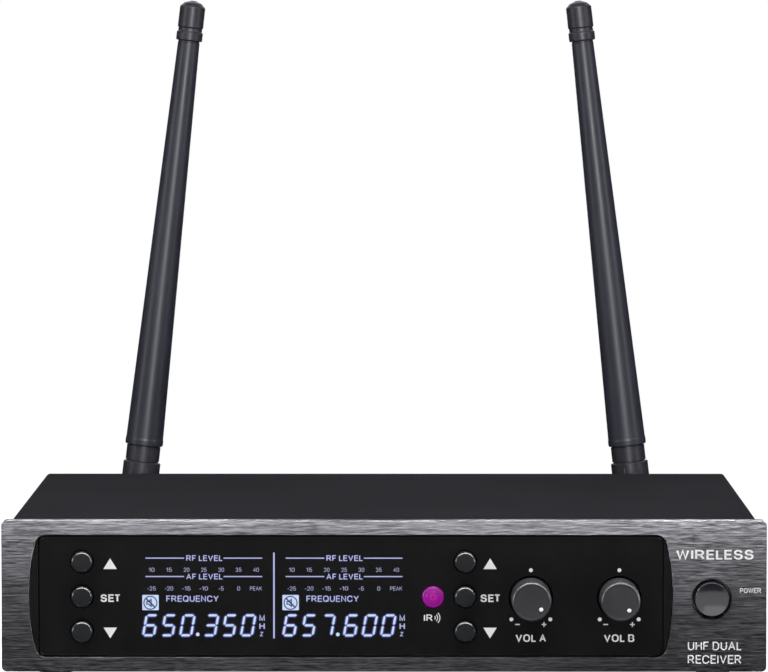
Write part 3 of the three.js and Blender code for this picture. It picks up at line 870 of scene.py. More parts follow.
@dataclass(frozen=True)
class SolderMask:
    """A circuit board: green mask over copper tracks, with gold pads in places."""

    name: str
    color: Rgb
    pad_color: Rgb = (0.75, 0.6, 0.3)
    tracks_per_metre: float = 90.0
    pads_per_metre: float = 160.0

    def material(self) -> bpy.types.Material:
        """The finished material."""
        shader = Shader(self.name)
        where = shader.add("TexCoord").outputs["Object"]
        tracks = shader.add("TexBrick", {
            "Vector": where, "Scale": self.tracks_per_metre, "Mortar Size": 0.03, "Mortar Smooth": 0.1,
            "Color1": (*self.color, 1), "Color2": (*scaled(self.color, 0.8), 1),
            "Mortar": (*scaled(self.color, 1.9), 1)})
        cells = {"Vector": where, "Scale": self.pads_per_metre}
        pads = shader.add("TexVoronoi", cells, feature="F1", distance="CHEBYCHEV")
        pad = shader.between(pads.outputs["Distance"], 1.0, 0.0, 0.14, 0.17)
        tone = shader.add("MixRGB", {"Fac": pad, "Color1": tracks.outputs["Color"],
                                     "Color2": (*self.pad_color, 1)})
        shader.set(Base_Color=tone.outputs[0], Roughness=0.35)
        shader.relief((tracks.outputs["Fac"], 0.03))
        return shader.material


class Look(Enum):
    """Every finish on the receiver."""

    PANEL = BrushedMetal("dark brushed aluminium", (0.168, 0.168, 0.18))
    PANEL_EDGE = TurnedMetal("cut edge", (0.115, 0.115, 0.122), roughness=0.55)
    COVER = CoatedSteel("black cover coat", (0.019, 0.019, 0.0225), roughness=0.8, specular=0.03)
    CHASSIS = CoatedSteel("black chassis coat", (0.018, 0.018, 0.02), roughness=0.55)
    BEZEL = Plastic("black bezel", (0.0068, 0.0068, 0.0073), roughness=0.4, specular=0.25)
    LENS = Plastic("smoked lens", (0.0092, 0.0092, 0.0096), roughness=0.12, grain=0.2, depth=0.002,
                   specular=0.22)
    BUTTON = Plastic("button gloss black", (0.017, 0.018, 0.02), roughness=0.16, depth=0.002)
    POWER = Plastic("power button gloss", (0.009, 0.0085, 0.011), roughness=0.16, depth=0.001)
    KNOB = Plastic("knob soft black", (0.034, 0.034, 0.038), roughness=0.34, grain=4, depth=0.005)
    # The infrared filter and its middle carry a painted glow: they emit light though they are no lamp.
    INFRARED = Plastic("magenta filter", (0.26, 0.006, 0.24), roughness=0.14, depth=0.001, coat=0.3,
                       glow=0.15)
    INFRARED_EYE = Plastic("magenta filter middle", (0.4, 0.01, 0.2), roughness=0.14, depth=0.001,
                           coat=0.4, glow=0.35)
    INK = PrintedInk("white legend ink", (0.86, 0.86, 0.86))
    SYMBOL = PrintedInk("dark symbol ink", (0.03, 0.05, 0.14))
    DIGITS = LitSegments("lit digits", (0.6, 0.72, 1.0), 1.0)
    HALO = LitSegments("blue halo", (0.022, 0.027, 0.15), 1.0)
    SMALL_LIT = LitSegments("lit small marks", (0.42, 0.44, 0.7), 0.85)
    LIT_WORDS = LitSegments("lit words", (0.46, 0.49, 0.84), 1.0)
    GLASS = Plastic("display glass", (0.008, 0.009, 0.014), roughness=0.08, grain=0.3, depth=0.001)
    BACKLIGHT = Plastic("backlight diffuser", (0.75, 0.77, 0.8), roughness=0.6)
    BOARD = SolderMask("green circuit board", (0.015, 0.1, 0.035))
    FOOT = Plastic("foot rubber", (0.012, 0.012, 0.013), roughness=0.72, grain=5, depth=0.02, specular=0.3)
    SLEEVE = Plastic("antenna sleeve", (0.021, 0.0215, 0.032), roughness=0.38, grain=3.5, depth=0.006)
    ANTENNA = Plastic("antenna plastic", (0.02, 0.02, 0.027), roughness=0.38, grain=3, depth=0.006)
    NICKEL = TurnedMetal("bright nickel", (0.62, 0.61, 0.58))
    TIN = TurnedMetal("tinned shield", (0.6, 0.6, 0.58), roughness=0.35)
    SCREW = TurnedMetal("black screw", (0.05, 0.05, 0.052), roughness=0.4)
    SOCKET = CoatedSteel("black socket shell", (0.016, 0.016, 0.017), roughness=0.4, specular=0.5)
    INSULATOR = Plastic("socket insulator", (0.012, 0.012, 0.013), roughness=0.5)
    JACKET = Plastic("cable jacket", (0.06, 0.06, 0.062), roughness=0.5)


MATERIALS: dict[Look, bpy.types.Material] = {}


def material_of(look: Look) -> bpy.types.Material:
    """The material of a finish, made the first time that it is asked for."""
    if look not in MATERIALS:
        MATERIALS[look] = look.value.material()
    return MATERIALS[look]


def painted(piece: Piece, look: Look) -> Piece:
    """Gives a whole piece one finish."""
    piece.data.materials.clear()
    piece.data.materials.append(material_of(look))
    return piece


def fitted(piece: Piece, body: str, slot: str, *stands_for: str) -> Piece:
    """Fixes a finished piece to its body.

    Args:
        piece: The piece, with its materials.
        body: The CAD body that it moves with.
        slot: The record's material slot; not used.
        stands_for: The CAD nodes that it replaces.

    Returns:
        The same piece.
    """
    flattened(piece)
    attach(piece, body)
    if stands_for:
        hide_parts(*stands_for)
    log.info("%s: %d faces on %s", piece.name, len(piece.data.polygons), body)
    return piece


def dressed_node(node: str, look: Look) -> None:
    """Gives a CAD node that stays as it is a finish."""
    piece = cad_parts[node]
    painted(piece, look)
    log.info("%s keeps its CAD shape", node)


# ---- Lettering ----


Corner = tuple[float, ...]  # x and y in cap heights, and the radius of its rounding if it has one
FILM = 0.03  # the thickness of printed and lit films
CURVE_STEPS = 5  # the straight stretches of a letter's rounding

GLYPHS: dict[str, tuple[tuple[Corner, ...], ...]] = {
    "A": (((0, 0), (0.36, 1), (0.72, 0)), ((0.13, 0.34), (0.59, 0.34))),
    "B": (((0, 0), (0, 1), (0.6, 1, 0.23), (0.6, 0.53, 0.23), (0, 0.53)),
          ((0, 0.53), (0.64, 0.53, 0.26), (0.64, 0, 0.26), (0, 0))),
    "C": (((0.7, 0.7), (0.7, 1, 0.3), (0, 1, 0.35), (0, 0, 0.35), (0.7, 0, 0.3), (0.7, 0.3)),),
    "D": (((0, 0), (0, 1), (0.67, 1, 0.38), (0.67, 0, 0.38), (0, 0)),),
    "E": (((0.58, 1), (0, 1), (0, 0), (0.6, 0)), ((0, 0.52), (0.54, 0.52))),
    "F": (((0.56, 1), (0, 1), (0, 0)), ((0, 0.5), (0.48, 0.5))),
    "H": (((0, 0), (0, 1)), ((0.64, 0), (0.64, 1)), ((0, 0.52), (0.64, 0.52))),
    "I": (((0, 0), (0, 1)),),
    "K": (((0, 0), (0, 1)), ((0.62, 1), (0, 0.36)), ((0.24, 0.6), (0.66, 0))),
    "L": (((0, 1), (0, 0), (0.5, 0)),),
    "M": (((0, 0), (0, 1), (0.38, 0.06), (0.76, 1), (0.76, 0)),),
    "N": (((0, 0), (0, 1), (0.62, 0), (0.62, 1)),),
    "O": (((0, 0.5), (0, 1, 0.35), (0.74, 1, 0.35), (0.74, 0, 0.35), (0, 0, 0.35), (0, 0.5)),),
    "P": (((0, 0), (0, 1), (0.6, 1, 0.27), (0.6, 0.44, 0.27), (0, 0.44)),),
    "Q": (((0, 0.5), (0, 1, 0.35), (0.74, 1, 0.35), (0.74, 0, 0.35), (0, 0, 0.35), (0, 0.5)),
          ((0.42, 0.26), (0.78, -0.04))),
    "R": (((0, 0), (0, 1), (0.62, 1, 0.25), (0.62, 0.48, 0.25), (0, 0.48)),
          ((0.36, 0.48), (0.68, 0))),
    "S": (((0.58, 0.74), (0.58, 1, 0.24), (0.02, 1, 0.24), (0.02, 0.54, 0.22), (0.62, 0.48, 0.23),
           (0.62, 0, 0.25), (0, 0, 0.25), (0, 0.28)),),
    "T": (((0, 1), (0.62, 1)), ((0.31, 1), (0.31, 0))),
    "U": (((0, 1), (0, 0, 0.31), (0.64, 0, 0.31), (0.64, 1)),),
    "V": (((0, 1), (0.35, 0), (0.7, 1)),),
    "W": (((0, 1), (0.25, 0), (0.5, 1), (0.75, 0), (1, 1)),),
    "X": (((0, 0), (0.64, 1)), ((0, 1), (0.64, 0))),
    "Y": (((0, 1), (0.34, 0.45), (0.68, 1)), ((0.34, 0.45), (0.34, 0))),
    "Z": (((0, 1), (0.6, 1), (0, 0), (0.62, 0)),),
    "0": (((0, 0.5), (0, 1, 0.26), (0.54, 1, 0.26), (0.54, 0, 0.26), (0, 0, 0.26), (0, 0.5)),),
    "1": (((0, 0.76), (0.26, 1), (0.26, 0)),),
    "2": (((0, 0.72), (0, 1, 0.26), (0.54, 1, 0.26), (0.54, 0.56, 0.2), (0, 0), (0.56, 0)),),
    "3": (((0, 0.8), (0, 1, 0.19), (0.52, 1, 0.22), (0.52, 0.53, 0.22), (0.2, 0.53)),
          ((0.2, 0.53), (0.55, 0.53, 0.25), (0.55, 0, 0.25), (0, 0, 0.21), (0, 0.22))),
    "4": (((0.4, 0), (0.4, 1), (0, 0.3), (0.58, 0.3)),),
    "5": (((0.5, 1), (0.08, 1), (0.03, 0.5), (0.16, 0.6, 0.1), (0.55, 0.6, 0.25), (0.55, 0, 0.25),
           (0, 0, 0.22), (0, 0.24)),),
    "-": (((0, 0.4), (0.3, 0.4)),),
}


def pen_strip(shape: bmesh.types.BMesh, line: list[Point2], weight: float, depth: float) -> None:
    """Draws one pen stroke as a flat closed bar with square ends and mitred corners.

    Args:
        shape: The drawing that it is added to.
        line: The stroke's middle line.
        weight: The pen's width.
        depth: How thick the film is.
    """
    points = [Vector(point) for i, point in enumerate(line) if i == 0 or point != line[i - 1]]
    ways = [(b - a).normalized() for a, b in zip(points, points[1:])]
    rings: list[list[bmesh.types.BMVert]] = []
    for point, before, after in zip(points, [ways[0], *ways], [*ways, ways[-1]]):
        along = (before + after).normalized()
        side = Vector((-along.y, along.x)) * (weight / 2 / max(0.5, along.dot(after)))
        edges = (point - side, point + side)
        rings.append([shape.verts.new((*edge, z)) for z in (0, depth) for edge in edges])
    for near, far in zip(rings, rings[1:]):
        for a, b in ((0, 1), (1, 3), (3, 2), (2, 0)):
            shape.faces.new((near[a], near[b], far[b], far[a]))
    for a, b, c, d in (rings[0], rings[-1]):
        shape.faces.new((a, b, d, c))


@dataclass(frozen=True)
class Legend:
    """One line of printed or lit capitals, drawn with an even pen.

    The cap height and the line's width are in millimetres. The pen's weight and the gaps between letters and
    words are in cap heights, before the line is stretched to its width.
    """

    words: str
    middle: Point2
    cap: float
    width: float
    weight: float = 0.16
    letter_gap: float = 0.17
    word_gap: float = 0.36

    def piece(self, place: Matrix) -> Piece:
        """The lettering as a thin closed solid.

        Args:
            place: The placement of the drawing that the lettering is part of.

        Returns:
            The piece.
        """
        shape = bmesh.new()
        left = 0.0
        for letter in self.words:
            if letter == " ":
                left += self.word_gap
                continue
            known = set(shape.verts)
            for corners in GLYPHS[letter]:
                pen_strip(shape, softened(list(corners), CURVE_STEPS), self.weight, FILM)
            drawn = [vert for vert in shape.verts if vert not in known]
            shift = left - min(vert.co.x for vert in drawn)
            for vert in drawn:
                vert.co.x += shift
            left = max(vert.co.x for vert in drawn) + self.letter_gap
        xs = [vert.co.x for vert in shape.verts]
        scale = Matrix.Diagonal((self.width / (max(xs) - min(xs)), self.cap / (1 + self.weight), 1, 1))
        centre = Matrix.Translation((-(max(xs) + min(xs)) / 2, -0.5, 0))
        put = Matrix.Translation((*self.middle, 0))
        return to_piece("lettering", shape, place @ put @ scale @ centre)


def film(
    name: str, outline: list[Point2], place: Matrix, holes: tuple[list[Point2], ...] = ()
) -> Piece:
    """A thin printed or lit patch."""
    return plate(name, outline, (0, FILM), place, holes)


def bar(low: Point2, high: Point2) -> list[Point2]:
    """A plain rectangle's outline."""
    return [low, (high[0], low[1]), high, (low[0], high[1])]


# ---- The case ----


@dataclass
class Case:
    """The folded cover, the chassis tray, its feet and its screws.

    The places of the side screws are (depth, height), of the rear ones (across, height) and of the sockets'
    own (across, up) from the socket's middle.
    """

    sheet: float = 1.0
    bend: float = 1.3
    inner_bend: float = 0.4
    cut_edge: float = 0.18
    foot_radius: float = 6.0
    screw_head: float = 2.7
    recess: Point2 = (1.5, 0.3)
    side_screws: tuple[Point2, ...] = ((28.0, 12.0), (132.0, 12.0))
    rear_screws: tuple[Point2, ...] = ((97.0, 12.0), (55.0, 38.0))
    floor_screw_depths: Point2 = (34.0, 126.0)
    floor_screw_across: float = 70.0
    socket_screw: Point2 = (9.5, 12.0)
    socket_screw_sunk: float = 0.4

    def cover(self) -> Piece:
        """The cover: one sheet bent down over both sides, with its cut edges eased."""
        low, high = node_span("top_cover")
        sheet = self.sheet
        outside = softened([(low.x, low.z), (low.x, high.z, self.bend), (high.x, high.z, self.bend),
                            (high.x, low.z)], 8)
        inside = softened([(low.x + sheet, low.z), (low.x + sheet, high.z - sheet, self.inner_bend),
                           (high.x - sheet, high.z - sheet, self.inner_bend),
                           (high.x - sheet, low.z)], 4)
        folded = plate("top_cover_sheet", outside + inside[::-1], (-high.y, -low.y), facing_front())
        return painted(eased(folded, self.cut_edge, 2, 50), Look.COVER)

    def foot(self, node: str) -> Piece:
        """A rubber foot: a low cone with a recess under it.

        Args:
            node: The foot's CAD node.

        Returns:
            The piece.
        """
        place, high, radius = node_middle(node), node_span(node)[1], self.foot_radius
        profile = softened([(0, 0.9), (2.6, 0.9, 0.2), (3.0, 0, 0.5), (radius - 0.8, 0, 0.5),
                            (radius, high.z, 0.2), (0, high.z)])
        return painted(turned(f"{node}_rubber", profile, placed(place.x, place.y, 0)), Look.FOOT)

    def screw(self) -> Piece:
        """One pan head with a cross recess, at the origin and facing up its own Z, in millimetres."""
        head, (long, wide) = self.screw_head, self.recess
        profile = softened([(0, 1.15), (head * 0.55, 1.1, 0.6), (head, 0.45, 0.3), (head, 0),
                            (0, 0)], 4)
        button = turned("screw_head", profile, Matrix.Identity(4), 28)
        turns = (Matrix.Rotation(angle, 4, "Z") for angle in (0, math.pi / 2))
        slots = [block("slot", (-long, -wide, 0.5), (long, wide, 2), turn) for turn in turns]
        return shaded(carved(button, *slots), 25)

    def screws(self) -> Piece:
        """All the case's screws: on both sides, under the floor, on the rear wall and on the outputs."""
        low, high = node_span("top_cover")
        floor = node_span("chassis")[0].z
        places: list[tuple[Point3, Point3]] = []
        for depth, height in self.side_screws:
            places += [((low.x, depth, height), (-1, 0, 0)), ((high.x, depth, height), (1, 0, 0))]
        for depth in self.floor_screw_depths:
            places += [((side * self.floor_screw_across, depth, floor), (0, 0, -1)) for side in (-1, 1)]
        across, up = self.socket_screw
        for node in ("output_shell_a", "output_shell_b"):
            middle, rear = node_middle(node), node_span(node)[1].y - self.socket_screw_sunk
            places += [((middle.x - side * across, rear, middle.z + side * up), (0, 1, 0))
                       for side in (-1, 1)]
        for side in (-1, 1):
            places += [((side * x, high.y, height), (0, 1, 0)) for x, height in self.rear_screws]
        screw = self.screw()
        values = {"Copy": screw, "Slant": 0.0, "Material": material_of(Look.SCREW)}
        made = grown("case_screws", scatter_tree(), values, placed(), facing_points("screw_points", places))
        bpy.data.objects.remove(screw)
        return made

    def dress(self) -> None:
        """Builds and fixes the case's pieces."""
        fitted(self.cover(), "case", "cover_paint", "top_cover")
        fitted(painted(refined("chassis", 0.15), Look.CHASSIS), "case", "chassis_steel", "chassis")
        for corner in ("front_left", "front_right", "rear_left", "rear_right"):
            node = f"foot_{corner}"
            fitted(self.foot(node), "case", "foot_rubber", node)
        fitted(self.screws(), "case", "dark_metal")


# ---- The front ----


@dataclass
class WindowShape:
    """The display window: straight above and below, with shallow round ends and small round corners."""

    left: float = -98.45
    right: float = 80.1
    half_height: float = 17.1
    middle: float = 23.0
    end_radius: float = 62.0
    corner: float = 3.0

    def outline(self, inset: float = 0, steps: int = 20) -> list[Point2]:
        """The window's outline.

        Args:
            inset: How far it is drawn in.
            steps: The straight stretches of each round end.

        Returns:
            The closed outline's points, anticlockwise.
        """
        big, small = self.end_radius - inset, self.corner - inset
        rise = self.half_height - self.corner
        run = math.sqrt((self.end_radius - self.corner) ** 2 - rise**2)
        tilt = math.degrees(math.atan2(rise, run))
        right, left, z = self.right - self.end_radius, self.left + self.end_radius, self.middle
        return [
            *arc((right + run, z - rise), small, -90, -tilt, 8),
            *arc((right, z), big, -tilt, tilt, steps)[1:-1],
            *arc((right + run, z + rise), small, tilt, 90, 8),
            *arc((left - run, z + rise), small, 90, 180 - tilt, 8),
            *arc((left, z), big, 180 - tilt, 180 + tilt, steps)[1:-1],
            *arc((left - run, z - rise), small, 180 + tilt, 270, 8),
        ]


@dataclass
class FrontPanel:
    """The thick brushed aluminium plate, with its window, the power button's hole and printed wording.

    A face is a cut edge where its normal's part along the depth is between cut_from and cut_to.
    """

    window: WindowShape
    corner: float = 1.4
    edge: float = 0.35
    cut_from: float = 0.1
    cut_to: float = 0.95
    hole_radius: float = 5.65

    def panel(self) -> Piece:
        """The plate, with fine chamfers round its edges and openings."""
        low, high = node_span("front_panel")
        power = node_middle("power_button")
        outline = rounded_box((low.x, low.z), (high.x, high.z), self.corner)
        holes = (self.window.outline(), circle((power.x, power.z), self.hole_radius, 96))
        made = plate("front_panel_plate", outline, (-high.y, -low.y), facing_front(), holes)
        made = painted(eased(made, self.edge, 3), Look.PANEL)
        made.data.materials.append(material_of(Look.PANEL_EDGE))
        for face in made.data.polygons:
            if self.cut_from < abs(face.normal.y) < self.cut_to:
                face.material_index = 1
        return made

    def wording(self) -> Piece:
        """The generic wording printed on the metal."""
        power = node_middle("power_button")
        column = power.x + 0.8
        lines = [
            Legend("WIRELESS", (column, power.z + 12.4), 2.7, 21.4, 0.2),
            Legend("POWER", (101.5, power.z + 2.4), 1.35, 5.8, 0.14),
            Legend("UHF DUAL", (column, 9.2), 2.4, 14.8, 0.15),
            Legend("RECEIVER", (column, 5.45), 2.4, 14.8, 0.15),
        ]
        drawn = joined("panel_wording", [line.piece(facing_front()) for line in lines])
        return painted(drawn, Look.INK)

    def dress(self) -> None:
        """Builds and fixes the panel's pieces."""
        fitted(self.panel(), "case", "brushed_aluminium", "front_panel")
        fitted(self.wording(), "case", "backlight_plastic")


class Segment(Enum):
    """The strokes of a seven-segment digit: their middle in half widths and half heights, and their lie."""

    TOP = (0, 1, "level")
    MIDDLE = (0, 0, "level")
    BOTTOM = (0, -1, "level")
    UPPER_LEFT = (-1, 0.5, "upright")
    UPPER_RIGHT = (1, 0.5, "upright")
    LOWER_LEFT = (-1, -0.5, "upright")
    LOWER_RIGHT = (1, -0.5, "upright")


S = Segment
DIGIT_STROKES: dict[str, tuple[Segment, ...]] = {
    "0": (S.TOP, S.BOTTOM, S.UPPER_LEFT, S.UPPER_RIGHT, S.LOWER_LEFT, S.LOWER_RIGHT),
    "3": (S.TOP, S.MIDDLE, S.BOTTOM, S.UPPER_RIGHT, S.LOWER_RIGHT),
    "5": (S.TOP, S.MIDDLE, S.BOTTOM, S.UPPER_LEFT, S.LOWER_RIGHT),
    "6": (S.TOP, S.MIDDLE, S.BOTTOM, S.UPPER_LEFT, S.LOWER_LEFT, S.LOWER_RIGHT),
    "7": (S.TOP, S.UPPER_RIGHT, S.LOWER_RIGHT),
}


@dataclass
class Display:
    """The bezel, the smoked lens, its printed legends and the lit characters behind it.

    The marks_ sizes belong to the volume scales, and the block_ and first_ ones to the lit channels.
    """

    window: WindowShape
    lens_edge: float = 0.2
    block_pitch: float = 38.85
    readings: tuple[str, str] = ("650.350", "657.600")
    digit_pitch: float = 5.15
    point_gap: float = 1.4
    digit_half_width: float = 1.5
    digit_half_height: float = 2.78
    stroke: float = 0.63
    stroke_gap: float = 0.1
    slant: float = 0.18
    first_digit: Point2 = (-64.8, 14.83)
    halo: float = 0.66
    control_hole: float = 3.3
    knob_hole: float = 6.15
    marks_height: float = 22.3
    marks_radius: float = 7.9
    marks_sweep: float = 274.0
    scale_columns: Point2 = (-64.4, 4.82)
    rule_half: float = 0.15

    @property
    def ink_plane(self) -> float:
        """The depth of the lens's front face."""
        return node_span("display_lens")[0].y

    def lens(self) -> Piece:
        """The one-piece lens, with polished holes for the controls."""
        low, high = node_span("display_lens")
        full = self.window.outline(2 * GAP)
        outline = [(min(max(x, low.x), high.x), z) for x, z in full]
        tidy = [p for i, p in enumerate(outline) if p != outline[i - 1]]
        holes: list[list[Point2]] = []
        for channel in "ab":
            for action in ("up", "set", "down"):
                middle = node_middle(f"button_{action}_{channel}")
                holes.append(circle((middle.x, middle.z), self.control_hole, 48))
            knob = node_middle(f"volume_control_{channel}")
            holes.append(circle((knob.x, KNOB_HEIGHT), self.knob_hole, 64))
        eye = node_middle("infrared_window")
        holes.append(circle((eye.x, eye.z), self.control_hole, 48))
        made = plate("display_lens_sheet", tidy, (-high.y, -low.y), facing_front(), tuple(holes))
        return painted(eased(made, self.lens_edge, 2), Look.LENS)

    def legends(self) -> Piece:
        """The white printing on the lens: words, arrows, plus and minus signs and the infrared waves."""
        place = facing_front(0, self.ink_plane, 0)
        made: list[Piece] = []
        for channel, shift in (("a", 7.8), ("b", 6.9)):
            x = node_middle(f"button_set_{channel}").x + shift
            made.append(Legend("SET", (x, 22.4), 2.1, 5.3, 0.22).piece(place))
            for middle, point in ((32.0, 1), (12.7, -1)):
                foot, tip = middle - 1.5 * point, middle + 1.5 * point
                arrow = [(x - 1.85, foot), (x + 1.85, foot), (x, tip)]
                made.append(film("arrow", arrow[::point], place))
        for channel in "ab":
            x = node_middle(f"volume_control_{channel}").x
            made.append(Legend(f"VOL {channel.upper()}", (x, 11.3), 2.1, 8.4, 0.2).piece(place))
            made.append(film("minus", bar((x - 4.4, 14.95), (x - 3.1, 15.25)), place))
            made.append(film("plus_across", bar((x + 3.0, 14.95), (x + 4.3, 15.25)), place))
            made.append(film("plus_upright", bar((x + 3.5, 14.45), (x + 3.8, 15.75)), place))
        made.append(Legend("IR", (12.25, 16.95), 1.85, 2.4, 0.17).piece(place))
        for radius in (0.5, 1.15, 1.8):
            wave = arc((13.6, 16.95), radius + 0.22, -45, 45, 10) + arc((13.6, 16.95), radius, 45, -45, 10)
            made.append(film("wave", wave, place))
        return painted(joined("lens_legends", made), Look.INK)

    def dial_marks(self, channel: str) -> Piece:
        """The three round marks of a volume scale: least, middle and most.

        Args:
            channel: The channel's letter.

        Returns:
            The piece.
        """
        x = node_middle(f"volume_control_{channel}").x
        place = facing_front(x, self.ink_plane, self.marks_height)
        values = {"Count": 3, "Radius": self.marks_radius, "Sweep": math.radians(self.marks_sweep),
                  "Mark Radius": 0.55, "Thickness": 2 * FILM, "Material": material_of(Look.INK)}
        return grown(f"volume_scale_{channel}", marks_tree(), values, place)

    def stroke_template(self, spread: float) -> Piece:
        """One stroke of a digit: a flat bar with pointed ends, along its own Z.

        Args:
            spread: How much wider and longer it is than the lit stroke.

        Returns:
            The stroke, at the origin and in millimetres.
        """
        half = (self.digit_half_height + spread) / 2 - self.stroke_gap
        wide = (self.stroke + spread) / 2
        side = half - wide
        shape = [(-wide, -side), (0, -half), (wide, -side), (wide, side), (0, half), (-wide, side)]
        return plate("stroke", shape, (-FILM / 2, FILM / 2), Matrix.Rotation(math.radians(90), 4, "X"))

    def digits(self, block_index: int) -> Piece:
        """A channel's frequency reading: leaning digits over a faint blue halo.

        Args:
            block_index: 0 for the left channel, 1 for the right one.

        Returns:
            The piece.
        """
        half_width, half_height = self.digit_half_width, self.digit_half_height
        places: list[tuple[Point3, Point3]] = []
        x, point = 0.0, 0.0
        for sign in self.readings[block_index]:
            if sign == ".":
                point = x - self.digit_pitch + half_width + self.point_gap - self.stroke_gap / 2
                x += self.point_gap
                continue
            for stroke in DIGIT_STROKES[sign]:
                across, up, lie = stroke.value
                direction = (1, 0, 0) if lie == "level" else (0, 0, 1)
                places.append(((x + across * half_width, 0, up * half_height), direction))
            x += self.digit_pitch
        left, height = self.first_digit[0] + block_index * self.block_pitch, self.first_digit[1]
        made: list[Piece] = []
        for look, spread, lift in ((Look.HALO, self.halo, 0.008), (Look.DIGITS, 0, 0.02)):
            template = self.stroke_template(spread)
            values = {"Copy": template, "Slant": self.slant, "Material": material_of(look)}
            place = placed(left, self.ink_plane - lift, height)
            points = facing_points("stroke_points", places)
            made.append(grown("strokes", scatter_tree(), values, place, points))
            bpy.data.objects.remove(template)
        front = facing_front(left, self.ink_plane, height)
        dot = painted(film("point", circle((point, 0.25 - half_height), 0.52, 20), front), Look.DIGITS)
        return joined(f"reading_{'ab'[block_index]}", [*made, dot])

    def level_scales(self, block_index: int) -> Piece:
        """A channel's two level scales with their numbers, its heading, its unit and the mute square.

        Args:
            block_index: 0 for the left channel, 1 for the right one.

        Returns:
            The piece.
        """
        shift, half = block_index * self.block_pitch, self.rule_half
        place = facing_front(shift, self.ink_plane, 0)
        bright: list[Piece] = []
        for height, words in ((33.55, "RF LEVEL"), (28.42, "AF LEVEL")):
            bright.append(Legend(words, (-49.8, height), 1.6, 10.0, 0.18).piece(place))
            bright += [film("rule", bar((x0, height - half), (x1, height + half)), place)
                       for x0, x1 in ((-66.1, -55.4), (-44.45, -33.75))]
        bright.append(Legend("FREQUENCY", (-53.1, 22.25), 1.75, 14.5, 0.17).piece(place))
        for letter, x, height, cap, width in (("M", -33.8, 16.9, 1.75, 1.5), ("H", -33.8, 14.6, 1.75, 1.5),
                                              ("Z", -33.95, 12.4, 1.2, 1.05)):
            bright.append(Legend(letter, (x, height), cap, width, 0.19).piece(place))
        square = film("mute_square", rounded_box((-67.0, 19.05), (-62.45, 23.3), 0.2, 3), place)
        painted_bright = [painted(square, Look.DIGITS)] + [painted(piece, Look.LIT_WORDS) for piece in bright]
        dim: list[Piece] = []
        first, pitch = self.scale_columns
        columns = [first + i * pitch for i in range(7)]
        for words, x in zip(("10", "15", "20", "25", "30", "35", "40"), columns):
            dim.append(Legend(words, (x, 30.3), 1.15, 1.6, 0.14).piece(place))
        for words, x in zip(("-25", "-20", "-15", "-10", "-5", "0", "PEAK"), columns):
            width = {1: 0.8, 2: 1.4, 3: 2.3, 4: 3.3}[len(words)]
            dim.append(Legend(words, (x, 25.1), 1.15, width, 0.14).piece(place))
        painted_dim = [painted(piece, Look.SMALL_LIT) for piece in dim]
        symbol = self.mute_symbol((-64.75, 21.1), facing_front(shift, self.ink_plane - FILM, 0))
        return joined(f"level_scales_{'ab'[block_index]}", painted_bright + painted_dim + symbol)

    @staticmethod
    def mute_symbol(middle: Point2, place: Matrix) -> list[Piece]:
        """A small crossed-out loudspeaker in a ring, dark on its lit square.

        Args:
            middle: The ring's middle in the drawing.
            place: The placement of the drawing.

        Returns:
            The symbol's pieces.
        """
        shapes = {
            "outside": [(-1.15, -0.5), (-0.55, -0.5), (0.35, -1.3), (0.35, 1.3), (-0.55, 0.5), (-1.15, 0.5)],
            "inside": [(-0.85, -0.2), (-0.42, -0.2), (0.05, -0.65), (0.05, 0.65), (-0.42, 0.2), (-0.85, 0.2)],
            "slash": [(-1.35, 1.05), (1.05, -1.35), (1.35, -1.05), (-1.05, 1.35)],
        }
        put = {name: [(middle[0] + x, middle[1] + z) for x, z in line] for name, line in shapes.items()}
        ring = film("mute_ring", circle(middle, 1.95, 36), place, (circle(middle, 1.65, 36),))
        speaker = film("mute_speaker", put["outside"], place, (put["inside"],))
        slash = film("mute_slash", put["slash"], place)
        return [painted(piece, Look.SYMBOL) for piece in (ring, speaker, slash)]

    def divider(self) -> Piece:
        """The lit line between the two channels."""
        place = facing_front(0, self.ink_plane, 0)
        line = film("channel_divider", bar((-30.72, 11.2), (-30.28, 35.1)), place)
        return painted(line, Look.LIT_WORDS)

    def dress(self) -> None:
        """Builds and fixes the display's pieces."""
        fitted(painted(refined("display_bezel", 0.15), Look.BEZEL), "case", "bezel_plastic", "display_bezel")
        fitted(self.lens(), "case", "lens_plastic", "display_lens")
        fitted(self.legends(), "case", "backlight_plastic")
        for channel in "ab":
            fitted(self.dial_marks(channel), "case", "backlight_plastic")
        for index in range(2):
            fitted(self.digits(index), "case", "backlight_plastic")
            fitted(self.level_scales(index), "case", "backlight_plastic")
        fitted(self.divider(), "case", "backlight_plastic")
        dressed_node("display_glass", Look.GLASS)
        dressed_node("display_backlight", Look.BACKLIGHT)


